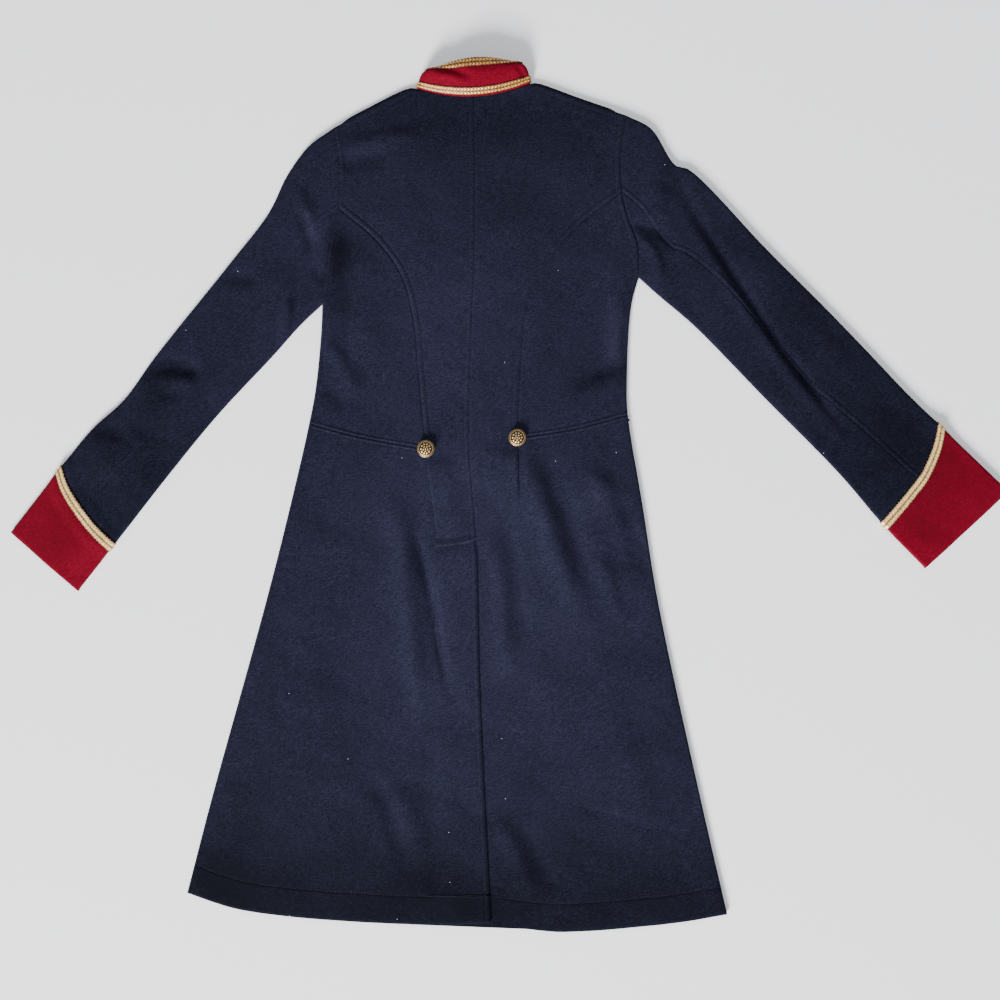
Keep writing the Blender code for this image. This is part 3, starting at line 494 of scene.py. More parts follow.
# Painted light and shade, partly standing for pile that is brushed up or pressed down: soft patches that
# make the cloth's colour paler or deeper where light falls or shade lies over the folds and hollows.
Patch = namedtuple("Patch", "x y reach_x reach_y amount")
painted_light_and_shade_patches = [Patch(*row) for row in (
    (-0.030, -0.280, 0.090, 0.100, 0.055),
    (-0.120, -0.160, 0.040, 0.040, 0.020),
    (-0.130, -0.255, 0.034, 0.035, 0.010),
    (0.000, -0.035, 0.170, 0.045, -0.075),
    (0.050, -0.130, 0.070, 0.040, -0.030),
    (-0.1660, -0.190, 0.013, 0.030, -0.130),
    (-0.163, -0.220, 0.022, 0.050, -0.070),
    (0.178, -0.292, 0.018, 0.040, 0.095),
    (0.160, -0.346, 0.036, 0.017, -0.095),
    (0.035, -0.625, 0.180, 0.210, 0.066),
    (-0.030, -0.500, 0.080, 0.085, 0.038),
    (-0.140, -0.600, 0.060, 0.090, 0.012),
    (-0.240, -0.880, 0.120, 0.080, -0.025),
    (-0.040, -1.010, 0.600, 0.075, -0.120),
    (-0.310, -0.965, 0.045, 0.050, -0.095),
    (-0.018, -1.015, 0.036, 0.014, -0.040),
    (-0.410, -0.470, 0.100, 0.090, -0.085),
    (-0.384, -0.348, 0.026, 0.020, -0.105),
    (-0.402, -0.385, 0.016, 0.024, -0.045),
    (-0.455, -0.416, 0.024, 0.012, -0.050),
    (-0.290, -0.228, 0.022, 0.008, -0.040),
    (0.295, -0.200, 0.055, 0.060, -0.060),
    (0.445, -0.340, 0.090, 0.090, -0.075),
    (0.530, -0.450, 0.080, 0.070, -0.125),
    (0.249, -0.092, 0.012, 0.014, -0.060),
    (0.376, -0.285, 0.040, 0.040, -0.050),
    (-0.060, -0.720, 0.060, 0.080, 0.022),
    (-0.061, -0.972, 0.040, 0.030, -0.040),
    (-0.196, -0.172, 0.015, 0.045, 0.060),
    (-0.186, -0.290, 0.012, 0.034, 0.040),
    (-0.530, -0.560, 0.036, 0.030, -0.070),
    (-0.484, -0.578, 0.020, 0.020, 0.050),
    (0.562, -0.542, 0.034, 0.018, -0.060),
)]
HEM_SHADE = 0.012


def painted_light_and_shade(points):
    """Painted light and shade at each plan point: paler or deeper cloth colour, with painted shade over the
    turned-up hem.
    """
    shade = np.zeros(points.shape[:-1])
    for spot in painted_light_and_shade_patches:
        x, y = (points[..., 0] - spot.x) / spot.reach_x, (points[..., 1] - spot.y) / spot.reach_y
        shade = shade + spot.amount * np.exp(-(x**2 + y**2))
    return shade - HEM_SHADE * over_hem(points)


def cloth_piece(name, places, finish, thickness=CLOTH, looks_up=True):
    """A shell of cloth: a grid moved to its places, thickened on its hidden side, with its rims sharp."""
    rows, columns = places.shape[:2]
    bm = bmesh.new()
    bmesh.ops.create_grid(bm, x_segments=columns - 1, y_segments=rows - 1, size=1)
    for vertex, place in zip(bm.verts, (places + NAPE).reshape(-1, 3)):
        vertex.co = place
    bm.normal_update()
    top = max(bm.faces, key=lambda face: face.calc_center_median().z)
    if (top.normal.z > 0) != looks_up:
        bmesh.ops.reverse_faces(bm, faces=bm.faces)
    for edge in bm.edges:
        edge.smooth = not edge.is_boundary
    thing = finished(name, bm, finish)
    # The painted light and shade goes into each piece's colour through this attribute.
    painted_shading = thing.data.attributes.new("nap_and_painted_shading", "FLOAT", "POINT")
    painted_shading.data.foreach_set("value", painted_light_and_shade(places[..., :2]).astype(np.float32).ravel())
    wall = thing.modifiers.new("thickness", "SOLIDIFY")
    wall.thickness = thickness
    wall.offset = -1
    return thing


def finished(name, bm, finish):
    """The object made of a mesh, shaded smooth and fixed to the coat."""
    for face in bm.faces:
        face.smooth = True
    mesh = bpy.data.meshes.new(name)
    bm.to_mesh(mesh)
    bm.free()
    mesh.materials.append(finish)
    thing = placed(name, mesh)
    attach(thing, "root")
    return thing


def placed(name, data):
    """A new object in the scene."""
    thing = bpy.data.objects.new(name, data)
    bpy.context.scene.collection.objects.link(thing)
    return thing


def declare(piece, node, slot, **cloth):
    """Hides the solid in model.glb that a piece stands for."""
    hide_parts(node)


def plug(tree, node, *values, **sockets):
    """Sets a node's sockets, given by place or by name, to values or to other nodes' outputs."""
    pairs = [(node.inputs[k], value) for k, value in enumerate(values)]
    pairs += [(node.inputs[key.replace("_", " ")], value) for key, value in sockets.items()]
    for socket, value in pairs:
        if isinstance(value, bpy.types.NodeSocket):
            tree.links.new(value, socket)
        elif value is not None:
            socket.default_value = value


def add(tree, kind, *values, settings=None, **sockets):
    """A new shader node with these settings and sockets."""
    made = tree.nodes.new(kind)
    for key, value in (settings or {}).items():
        setattr(made, key, value)
    plug(tree, made, *values, **sockets)
    return made


def blend(tree, share, a, b):
    """A mix of two numbers."""
    return add(tree, "ShaderNodeMix", share, None, a, b, settings={"data_type": "FLOAT"}).outputs[0]


def arithmetic(tree, operation, a, b):
    return add(tree, "ShaderNodeMath", a, b, settings={"operation": operation}).outputs[0]


def noise(tree, place, scale, detail, roughness=0.5):
    return add(tree, "ShaderNodeTexNoise", Vector=place, Scale=scale, Detail=detail,
               Roughness=roughness).outputs[0]


def ramp(tree, share, *stops):
    """A colour for each share; a stop is (share, colour)."""
    made = add(tree, "ShaderNodeValToRGB", share)
    elements = made.color_ramp.elements
    while len(elements) < len(stops):
        elements.new(0.5)
    for element, (where, colour) in zip(elements, stops):
        element.position = where
        element.color = (*colour, 1)
    return made.outputs[0]


def shader_of(name):
    made = bpy.data.materials.new(name)
    made.use_nodes = True
    return made, made.node_tree, made.node_tree.nodes["Principled BSDF"]


def felted(name, deep, middle, pale, lint, sheen_tint):
    """Felted jersey: a short brushed pile, mottled in the grain, streaked along the brushing and blotched
    where it is pressed, with a few specks of lint, and made paler or deeper by each piece's painted light
    and shade."""
    made, tree, shader = shader_of(name)
    place = add(tree, "ShaderNodeTexCoord").outputs["Object"]
    brushed = add(tree, "ShaderNodeMapping", settings={"vector_type": "TEXTURE"}, Vector=place,
                  Rotation=(0, 0, 0.30), Scale=(0.0065, 0.0017, 0.0040)).outputs[0]
    grain = noise(tree, place, 640, 2, 0.75)
    streaks = noise(tree, brushed, 1, 2)
    mottles = noise(tree, place, 110, 3, 0.6)
    blotches = noise(tree, place, 15, 3)
    # Painted light and shade, read from the piece's attribute and added to the cloth's tone.
    painted_shading = add(tree, "ShaderNodeAttribute", settings={"attribute_name": "nap_and_painted_shading"}).outputs["Fac"]
    nap_and_painted_shading = blend(tree, 0.30, grain, streaks)
    tone = blend(tree, 0.10, blend(tree, 0.10, nap_and_painted_shading, mottles), blotches)
    tone = arithmetic(tree, "ADD", tone, painted_shading)
    cloth = ramp(tree, tone, (0.34, deep), (0.50, middle), (0.66, pale))
    cells = add(tree, "ShaderNodeTexVoronoi", settings={"voronoi_dimensions": "2D"}, Vector=place, Scale=15)
    small = arithmetic(tree, "LESS_THAN", cells.outputs["Distance"], 0.0070)
    picked = add(tree, "ShaderNodeSeparateColor", cells.outputs["Color"])
    few = arithmetic(tree, "GREATER_THAN", picked.outputs[0], 0.84)
    speck = arithmetic(tree, "MULTIPLY", small, few)
    colour = add(tree, "ShaderNodeMix", speck, *[None] * 5, cloth, (*lint, 1),
                 settings={"data_type": "RGBA"})
    bump = add(tree, "ShaderNodeBump", Strength=0.55, Distance=0.0007, Height=nap_and_painted_shading)
    plug(tree, shader, Base_Color=colour.outputs[2], Normal=bump.outputs[0], Roughness=0.95,
         Specular_IOR_Level=0.06, Sheen_Weight=0.05, Sheen_Roughness=0.45, Sheen_Tint=(*sheen_tint, 1))
    return made


navy_cloth = felted("navy_felted_cloth", (0.0017, 0.0022, 0.0048), (0.0073, 0.0075, 0.0170),
                    (0.0176, 0.0173, 0.0365), (0.40, 0.40, 0.42), (0.50, 0.52, 0.85))
NECK_BAND, CENTRE_BAND, SEAM_BAND = 0.0110, 0.0085, 0.0100
VENT_FINE = (VENT_TOP + 0.008, VENT_TOP - 0.018)
blade_share = {side: share_nearest(armhole[side], princess[side][0]) for side in WORD}
pleat_hem_share = {side: share_nearest(hem[side], pleat[side][-1]) for side in WORD}
CENTRE_CUT = {LEFT: 0.0869, RIGHT: 0.0918}
for side, word in WORD.items():
    x = np.linspace(side * NECK_HALF_WIDTH, 0, 24)
    share = x / NECK_HALF_WIDTH
    sink = HIDDEN_GAP / 2 * (1 + 2 * share**4)
    neck = np.stack([x, NECK_RISE * share**2 + NECK_TILT * share - sink], axis=1)
    outside = joined(cut(armhole[side], 0, blade_share[side]), princess[side], pleat[side])[0]
    top = joined(shoulder[side][::-1], neck)[0]
    plan = patch(top, cut(hem[side], pleat_hem_share[side], 1), outside, centre_back)
    long = lengths(outside)[-1]
    roll, band = ROLL / long, NECK_BAND / long
    first, last = (share_nearest(centre_back, (0, y)) for y in VENT_FINE)
    down = steps((0, roll, 8, 1), (roll, band, 6, 0), (band, first, 128, 0), (first, last, 36, 0),
                 *hem_legs(last, 100, long)).T
    wide = width_at(outside, centre_back, down)
    first, last = SEAM_BAND / wide, 1 - CENTRE_BAND / wide
    across = steps((0, first, 12, 0), (first, last, 26, 0), (last, 1, 11, 0))
    points = plan(across, down)
    places = np.dstack([points, centre_back_height(points, side)])
    piece = cloth_piece(f"{word}_centre_back", places, navy_cloth)
    declare(piece, f"back_centre_{word}", "navy_cloth", flat=(0.200, 1.060),
            rests_on=["front_left", "front_right"], area=CENTRE_CUT[side])


# Side backs: the shaped pieces of the same cloth between the curved back seam, armhole, side and waist.
# They are sewn to the centre backs with the allowance turned inwards and topstitched.

waist_share = {side: share_nearest(side_edge[side], waist[side][0]) for side in WORD}
SIDE_CUT = {LEFT: 0.0302, RIGHT: 0.0335}
WAIST_BAND, BLADE_BAND = 0.008, 0.006
for side, word in WORD.items():
    edge = cut(side_edge[side], 0, waist_share[side])
    plan = patch(cut(armhole[side], 1, blade_share[side]), waist[side], edge, princess[side])
    long = lengths(princess[side])[-1]
    first, last = SEAM_BAND / long, 1 - WAIST_BAND / long
    down = steps((0, first, 11, 0), (first, last, 68, 0), (last, 1, 10, 0)).T
    wide = width_at(edge, princess[side], down)
    roll, first, last = ROLL / wide, SEAM_BAND / wide, 1 - BLADE_BAND / wide
    across = steps((0, roll, 8, 1), (roll, first, 6, 0), (first, last, 26, 0), (last, 1, 8, 0))
    points = plan(across, down)
    piece = cloth_piece(f"{word}_side_back", np.dstack([points, body_height(points)]), navy_cloth)
    declare(piece, f"back_side_{word}", "navy_cloth", flat=(0.152, 0.308), rests_on=[f"front_{word}"],
            area=SIDE_CUT[side])


# Skirts: flared pieces of the same cloth from the waist seam to the hem, which is turned up and stitched.
# Their inner edges are folded in under the centre backs below the buttons, and run on with them lower down.

SKIRT_CUT = {LEFT: (0.325, 0.1412), RIGHT: (0.279, 0.1119)}
for side, word in WORD.items():
    fold = at(pleat[side], np.linspace(0, 1, 200))
    fold[:, 0] -= side * PLEAT_DEPTH * pleat_hold(fold[:, 1], side) ** 2
    edge = cut(side_edge[side], waist_share[side], 1)
    plan = patch(waist[side], cut(hem[side], 0, pleat_hem_share[side]), edge, fold)
    long = lengths(fold)[-1]
    down = steps((0, WAIST_BAND / long, 10, 0), *hem_legs(WAIST_BAND / long, 136, long)).T
    wide = width_at(edge, fold, down)
    roll, band = ROLL / wide, SEAM_BAND / wide
    across = steps((0, roll, 8, 1), (roll, band, 6, 0), (band, 1, 52, 0))
    points = plan(across, down)
    under = side * (line_x(pleat[side], points[..., 1]) - points[..., 0])
    hold = pleat_hold(points[..., 1], side)
    sunk = (LAP_RISE - lap_rise(points, side)) * ease(under, 0, HIDDEN_GAP) * hold
    height = body_height(points) + vent_rise(points, side) * (1 - hold) - sunk
    piece = cloth_piece(f"{word}_skirt", np.dstack([points, height]), navy_cloth)
    wide, area = SKIRT_CUT[side]
    declare(piece, f"skirt_{word}", "navy_cloth", flat=(wide, 0.646), rests_on=[f"front_{word}"], area=area)


# Vent underlap: a straight strip of the same cloth along the right back's vent edge, which lies under the
# left back from the vent's top to the hem.

vent = centre_back[centre_back[:, 1] < VENT_TOP - VENT_LAP_START]
inner = vent - [VENT_LAP_WIDTH, 0]
plan = patch(np.linspace(inner[0], vent[0], 8), np.linspace(inner[-1], vent[-1], 8), inner, vent)
points = plan(steps((0, 1, 10, 0)), steps((0, 1, 110, 0)).T)
lap_height = upper_face(points, body_edges, body_folds) + lap_rise(points, LEFT) - LAP_RISE
vent_piece = cloth_piece("vent_lap", np.dstack([points, lap_height]), navy_cloth)
declare(vent_piece, "vent_underlap", "navy_cloth", flat=(VENT_LAP_WIDTH, 0.450),
        rests_on=["front_left", "front_right"])


# Fronts: the two pieces of the same cloth that the coat lies on, from shoulder to hem and from the side
# seam to the middle, flat on the surface under the back.

FRONT_NECK_DROP, FRONT_NECK_BEND = 0.055, 2
FRONT_HEM_DIP, FRONT_HEM_DIP_X, FRONT_HEM_DIP_WIDTH = 0.0045, -0.040, 0.045
whole_hem = np.vstack([hem[LEFT][:-SPAN - 1], hem[RIGHT][-SPAN - 2::-1]])
dip_away = (whole_hem[:, 0] - FRONT_HEM_DIP_X) / FRONT_HEM_DIP_WIDTH
whole_hem[:, 1] -= FRONT_HEM_DIP * np.exp(-(dip_away**2))


def lower_face(points, edges):
    """Height of the face that lies on the surface."""
    edge = np.full(points.shape[:-1], EDGE_HEIGHT)
    return edge - rounded(edge, distance(points, edges))


FRONT_CUT = {LEFT: (0.380, 0.2590), RIGHT: (0.317, 0.2268)}
for side, word in WORD.items():
    inset = armhole[side].copy()
    inset[:, 0] -= side * HIDDEN_GAP * np.sin(np.linspace(0, np.pi, len(inset))) ** 0.5
    outside = joined(inset, side_edge[side])[0]
    share = np.linspace(side, 0, 24)
    scoop = (NECK_RISE + FRONT_NECK_DROP) * (1 - share**2) ** FRONT_NECK_BEND
    rise = NECK_RISE - scoop + NECK_TILT * share - 2 * HIDDEN_GAP
    neck = np.stack([NECK_HALF_WIDTH * share, rise], axis=1)
    top, ends = joined(shoulder[side][::-1], neck)
    closing = share_nearest(whole_hem, centre_back[-1])
    bottom = cut(whole_hem, 0 if side == LEFT else 1, closing)
    middle = np.linspace(neck[-1], bottom[-1], 40)
    plan = patch(top, bottom, outside, middle)
    long = lengths(outside)[-1]
    down = steps((0, ROLL / long, 8, 1), (ROLL / long, 1, 120, 0)).T
    wide = width_at(outside, middle, down)
    across = steps((0, ROLL / wide, 8, 1), (ROLL / wide, ends[0], 18, 0), (ends[0], 1, 22, 0))
    points = plan(across, down)
    piece = cloth_piece(f"{word}_front", np.dstack([points, lower_face(points, body_edges)]), navy_cloth,
                        looks_up=False)
    wide, area = FRONT_CUT[side]
    declare(piece, f"front_{word}", "navy_cloth", flat=(wide, 1.060), area=area)


# Sleeves: two pieces of the same cloth each.  The upper one runs from the topstitched back seam over the
# outer edge to the seam underneath, and the under one closes the tube on the inner side.

INNER_WRIST = (-0.4525, -0.5625, 0.5125, -0.5360)
OUTER_WRIST = (-0.5190, -0.4650, 0.5840, -0.4110)
outer_edge = pair(
    SHOULDER_POINT,
    (-0.2060, -0.0600, 0.2220, -0.0390),
    (-0.2340, -0.0975, 0.2520, -0.0845),
    (-0.2575, -0.1450, 0.2690, -0.0900),
    (-0.3075, -0.2100, 0.3675, -0.1910),
    (-0.4010, -0.3270, 0.4425, -0.2660),
    (-0.4380, -0.3780, 0.4960, -0.3215),
    (-0.4790, -0.4160, 0.5400, -0.3680),
    OUTER_WRIST,
)
inner_edge = pair(
    UNDERARM,
    (-0.2175, -0.2850, 0.2310, -0.2475),
    (-0.2510, -0.3225, 0.2750, -0.2850),
    (-0.3210, -0.3975, 0.3640, -0.3760),
    (-0.3825, -0.4725, 0.4590, -0.4725),
    INNER_WRIST,
)
cuff_seam = pair(
    INNER_WRIST,
    (-0.4725, -0.5440, 0.5475, -0.4950),
    (-0.4890, -0.5240, 0.5640, -0.4720),
    (-0.5110, -0.4900, 0.5790, -0.4370),
    OUTER_WRIST,
)
cuff_end = pair(
    (-0.4960, -0.6175, 0.5650, -0.5890),
    (-0.5800, -0.5440, 0.6690, -0.4925),
)
sleeve_folds = fold_table(
    # left elbow and wrist
    (-0.215, -0.215, -0.400, -0.430, 0.010, 0.020, 0.0032),
    (-0.416, -0.340, -0.336, -0.346, 0.009, 0.008, -0.0052),
    (-0.402, -0.356, -0.342, -0.362, 0.004, 0.008, 0.0024),
    (-0.400, -0.370, -0.360, -0.372, 0.002, 0.010, -0.0022),
    (-0.405, -0.410, -0.470, -0.480, 0.004, 0.018, 0.0026),
    # left upper arm and cap
    (-0.326, -0.223, -0.266, -0.231, 0.003, 0.008, -0.0036),
    (-0.226, -0.104, -0.200, -0.180, 0.003, 0.009, 0.0030),
    (-0.215, -0.140, -0.202, -0.200, 0.001, 0.006, -0.0038),
    # left underarm and inner edge
    (-0.205, -0.211, -0.182, -0.233, 0.001, 0.006, -0.0024),
    (-0.229, -0.246, -0.242, -0.312, 0.002, 0.006, 0.0044),
    # left wrist
    (-0.480, -0.411, -0.428, -0.426, 0.002, 0.012, -0.0034),
    # right cap and underarm
    (0.220, -0.065, 0.245, -0.165, -0.008, 0.018, 0.0026),
    (0.256, -0.080, 0.238, -0.122, 0.002, 0.008, -0.0026),
    (0.190, -0.158, 0.254, -0.196, 0.012, 0.007, -0.0036),
    (0.200, -0.168, 0.232, -0.246, 0.012, 0.008, 0.0040),
    # along the right sleeve
    (0.246, -0.090, 0.480, -0.436, -0.010, 0.0058, -0.0042),
    (0.238, -0.102, 0.470, -0.442, -0.010, 0.008, 0.0028),
    (0.300, -0.160, 0.510, -0.390, 0.000, 0.018, 0.0026),
)
FRONT_SEAM_SHARE = 0.30
SLEEVE_STITCH, SLEEVE_PULL = 0.0060, {LEFT: 0.4, RIGHT: 0.7}
BRAID, TRIM_CLEARANCE = 0.0012, 0.0005
BRAID_RISE = BRAID + TRIM_CLEARANCE
LIFT_NEAR, LIFT_FAR = 0.009, 0.024
ARMHOLE_SHARE, OVER_SEAM, UNDER_SEAM = 0.016, 0.011, 0.005
OUTER_COLUMN, INNER_COLUMN = 36, 14
BACK_SEAM = {
    LEFT: ([0, 0.22, 0.36, 0.52, 0.80, 1.00], [1 - blade_share[LEFT], 0.56, 0.54, 0.47, 0.47, 0.50]),
    RIGHT: ([0, 0.055, 0.090, 0.140, 0.240, 0.345, 0.440, 0.520, 0.620, 0.730, 0.830, 1.000],
            [1 - blade_share[RIGHT], 0.50, 0.465, 0.45, 0.49, 0.505, 0.475, 0.42, 0.39, 0.42, 0.45, 0.49]),
}
sleeve_edges = {
    side: [line[side] for line in (shoulder, side_edge, outer_edge, inner_edge)]
    + [np.linspace(cuff_seam[side][end], cuff_end[side][end], 12) for end in (0, -1)]
    for side in WORD
}


def sleeve_plan(side):
    """Plan point at (inner to outer edge, armhole 0 to cuff seam 1 to cuff end 2)."""
    arm = patch(armhole[side][::-1], cuff_seam[side], inner_edge[side], outer_edge[side])
    inner, outer = (np.linspace(cuff_seam[side][end], cuff_end[side][end], 12) for end in (0, -1))
    cuff = patch(cuff_seam[side], cuff_end[side], inner, outer)

    def point(across, along):
        along = np.broadcast_to(along, across.shape)
        on_arm, on_cuff = arm(across, np.clip(along, 0, 1)), cuff(across, np.clip(along - 1, 0, 1))
        return np.where((along <= 1)[..., None], on_arm, on_cuff)

    return point


def cuff_lift(points, side):
    """The sleeve end is lifted off the surface by the braid that runs round under it."""
    return BRAID_RISE * (1 - ease(distance(points, [cuff_seam[side]]), LIFT_NEAR, LIFT_FAR))


def back_seam_share(side, along):
    """Where the back seam lies across the sleeve at each point along it."""
    smooth = lath(np.stack(BACK_SEAM[side], axis=1))
    return np.interp(along, smooth[:, 0], smooth[:, 1])


def sleeve_width(side, along):
    return np.interp(along, [0, 1, 2], [lengths(line[side])[-1] for line in (armhole, cuff_seam, cuff_end)])


def sleeve_height(points, upper, side, relief=0.0):
    over = upper_face(points, sleeve_edges[side], sleeve_folds + body_folds, relief)
    below = lower_face(points, sleeve_edges[side])
    return np.where(upper, over, below) + cuff_lift(points, side)


SLEEVE_CUT = {
    (LEFT, "upper"): (0.270, 0.450, 0.0759),
    (LEFT, "under"): (0.180, 0.440, 0.0416),
    (RIGHT, "upper"): (0.270, 0.560, 0.0948),
    (RIGHT, "under"): (0.180, 0.500, 0.0485),
}
sleeve_rows = {}
for side, word in WORD.items():
    plan = sleeve_plan(side)
    fine = np.linspace(0, 1, 80)
    back_seam = plan(back_seam_share(side, fine), fine)
    row = beside(back_seam, -side * SLEEVE_STITCH)
    sleeve_rows[side] = row
    pull = SLEEVE_PULL[side]
    along = steps((0, ARMHOLE_SHARE, 7, 0), (ARMHOLE_SHARE, 1, 118, 0)).T
    wide = sleeve_width(side, along)
    roll, seam = ROLL / wide, back_seam_share(side, along)
    over, under = seam + OVER_SEAM / wide, seam - UNDER_SEAM / wide
    upper_across = steps((seam, over, 12, 0), (over, 1 - roll, 16, 0), (1 - roll, 1, 8, -1),
                         (1, 1 - roll, 8, 1), (1 - roll, FRONT_SEAM_SHARE, 14, 0))
    under_across = steps((FRONT_SEAM_SHARE, roll, 6, 0), (roll, 0, 8, -1), (0, roll, 8, 1),
                         (roll, under, 18, 0), (under, seam, 6, 0))
    for part, across in (("upper", upper_across), ("under", under_across)):
        column = np.arange(across.shape[1])
        looks_up = column <= OUTER_COLUMN if part == "upper" else column >= INNER_COLUMN
        points = plan(across, along)
        band = (beside(back_seam, -side * SLEEVE_STITCH / 2), SLEEVE_STITCH / 2, pull)
        relief = sewn(points, [(back_seam, pull), (armhole[side], pull)], [(row, pull)], [band])
        height = sleeve_height(points, looks_up, side, relief)
        piece = cloth_piece(f"{word}_{part}_sleeve", np.dstack([points, height]), navy_cloth)
        wide, long, area = SLEEVE_CUT[side, part]
        declare(piece, f"sleeve_{part}_{word}", "navy_cloth", flat=(wide, long), area=area)


# Cuffs: bands of red felted cloth, cut as one strip each, sewn round the sleeve ends with a seam
# underneath, and turned in at their free edge.

red_cloth = felted("red_felted_cloth", (0.063, 0.0006, 0.0044), (0.108, 0.0012, 0.0080),
                   (0.160, 0.0027, 0.0138), (0.40, 0.25, 0.25), (1.0, 0.35, 0.40))
CUFF_LENGTH, CUFF_TURN, UNDER_TURN, CUFF_LIP = 0.08, 0.0011, 0.4, 1.96


def round_the_sleeve(side, along, per_face):
    """Shares across, once round the sleeve end from and to the seam underneath, and which look up."""
    roll = ROLL / sleeve_width(side, along)
    across = steps((FRONT_SEAM_SHARE, roll, per_face // 3, 0), (roll, 0, 8, -1), (0, roll, 8, 1),
                   (roll, 1 - roll, per_face, 0), (1 - roll, 1, 8, -1), (1, 1 - roll, 8, 1),
                   (1 - roll, FRONT_SEAM_SHARE, per_face * 2 // 3, 0))
    column = np.arange(across.shape[1])
    first = per_face // 3 + 8
    return across, (column >= first) & (column <= first + per_face + 16)


CUFF_CUT = {LEFT: (0.236, 0.082, 0.0182), RIGHT: (0.290, 0.094, 0.0254)}
for side, word in WORD.items():
    along = steps((1, CUFF_LIP, 24, 0), (CUFF_LIP, 2, 6, -1)).T
    across, looks_up = round_the_sleeve(side, along, 36)
    points = sleeve_plan(side)(across, along)
    turned_in = CUFF_TURN * np.exp(-(((along - 2) * CUFF_LENGTH / TURN_WIDTH) ** 2))
    height = sleeve_height(points, looks_up, side) + turned_in * np.where(looks_up, -1, UNDER_TURN)
    piece = cloth_piece(f"{word}_red_cuff", np.dstack([points, height]), red_cloth)
    wide, long, area = CUFF_CUT[side]
    declare(piece, f"cuff_{word}", "red_cloth", flat=(wide, long), area=area)


# Cuff braid: woven gold braid of two corded ribs with a plaited herringbone, laid flat over the seam
# between sleeve and cuff, all round, and sewn down along its edges.

RIB, PLAIT, PLAIT_PITCH, SCALLOP = 0.00050, 0.00045, 0.0042, 0.00045
RIB_LEVEL, PLAIT_SLANT = 0.8, 0.8


def gold_thread(name, deep, middle, pale):
    """Metallic thread, with a painted highlight on the tops of the strands and painted shade between them,
    painted glints, and fibre and tarnish that vary at random.
    """
    made, tree, shader = shader_of(name)
    # Painted highlight on the tops of the strands and painted shade between them, from the braid's
    # attribute.
    top = add(tree, "ShaderNodeAttribute", settings={"attribute_name": "painted_strand_shading"}).outputs["Fac"]
    place = add(tree, "ShaderNodeTexCoord").outputs["Object"]
    fibre, tarnish = noise(tree, place, 2600, 2), noise(tree, place, 120, 3)
    # Painted glints: hardened fine noise that brightens the thread in specks.
    painted_glints = ramp(tree, noise(tree, place, 800, 2, 0.7), (0.40, (0, 0, 0)), (0.60, (1, 1, 1)))
    tone = blend(tree, 0.14, blend(tree, 0.30, blend(tree, 0.14, top, fibre), painted_glints), tarnish)
    colour = ramp(tree, tone, (0.22, deep), (0.45, middle), (0.72, pale))
    rough = ramp(tree, fibre, (0.3, (0.34, 0.34, 0.34)), (0.7, (0.52, 0.52, 0.52)))
    bump = add(tree, "ShaderNodeBump", Strength=0.35, Distance=0.0002, Height=fibre)
    plug(tree, shader, Base_Color=colour, Roughness=rough, Normal=bump.outputs[0], Metallic=0.30)
    return made


pale_gold = gold_thread("pale_gold_thread", (0.030, 0.014, 0.004), (0.400, 0.240, 0.082),
                        (0.950, 0.660, 0.290))
CUFF_WEAVE, CUFF_BRAID_WIDTH = 0.50, 0.0125
CUFF_BRAID_LENGTH = {LEFT: 0.240, RIGHT: 0.295}


def braid_piece(name, places, thread, weave):
    """Braid laid on a strip of places: rows run along it and columns round, moved out to lie on the cloth.
    Weave is how strongly its plaited strands show, in relief and in their painted highlight and shade."""
    over = np.gradient(places, axis=0)
    out = unit(np.cross(np.gradient(places, axis=1), over))
    middle = places[len(places) // 2]
    if out[len(places) // 2, middle[:, 2].argmax(), 2] < 0:
        out = -out
    along = lengths(middle)
    w = np.linspace(0, 1, len(places))[:, None]
    rib = np.abs(np.sin(math.tau * w))
    slant = np.abs((2 * w) % 1 - 0.5) * 2
    strands = 0.5 + 0.5 * np.cos(math.tau * (along / PLAIT_PITCH + PLAIT_SLANT * slant))
    # Painted highlight on the tops of the strands and painted shade between them, carried to the thread's
    # colour.
    painted_strand_shading = rib * (1 - weave + weave * strands)
    scallop = SCALLOP * np.cos(math.tau * along / PLAIT_PITCH) * (2 * w - 1) ** 5
    rise = BRAID_RISE + RIB * (rib - RIB_LEVEL) + weave * PLAIT * (strands - 0.5) * rib
    laid = places + out * rise[..., None] + unit(over) * scallop[..., None]
    laid[..., 2] = np.maximum(laid[..., 2], 0)
    piece = cloth_piece(name, laid, thread, BRAID)
    layer = piece.data.attributes.new("painted_strand_shading", "FLOAT", "POINT")
    layer.data.foreach_set("value", painted_strand_shading.astype(np.float32).ravel())
    return piece


for side, word in WORD.items():
    rows = np.linspace(-CUFF_BRAID_WIDTH / 2, CUFF_BRAID_WIDTH / 2, 25)[:, None]
    across, looks_up = round_the_sleeve(side, np.ones_like(rows), 220)
    arm = np.interp(across, [0, 1], [lengths(line[side])[-1] for line in (inner_edge, outer_edge)])
    ends = cuff_end[side][[0, -1]] - cuff_seam[side][[0, -1]]
    cuff = np.interp(across, [0, 1], np.linalg.norm(ends, axis=1))
    points = sleeve_plan(side)(np.broadcast_to(across, (len(rows), across.shape[1])),
                               1 + rows / np.where(rows < 0, arm, cuff))
    height = sleeve_height(points, looks_up, side)
    piece = braid_piece(f"{word}_cuff_gold_braid", np.dstack([points, height]), pale_gold, CUFF_WEAVE)
    declare(piece, f"cuff_braid_{word}", "gold_braid", flat=(0.012, CUFF_BRAID_LENGTH[side]),
            rests_on=[f"cuff_{word}"])


# Collar: a stiffened stand collar of the red cloth, once round the neck and open at the hidden front.  It
# stands up from its seam at the back and leans over on itself at the sides.

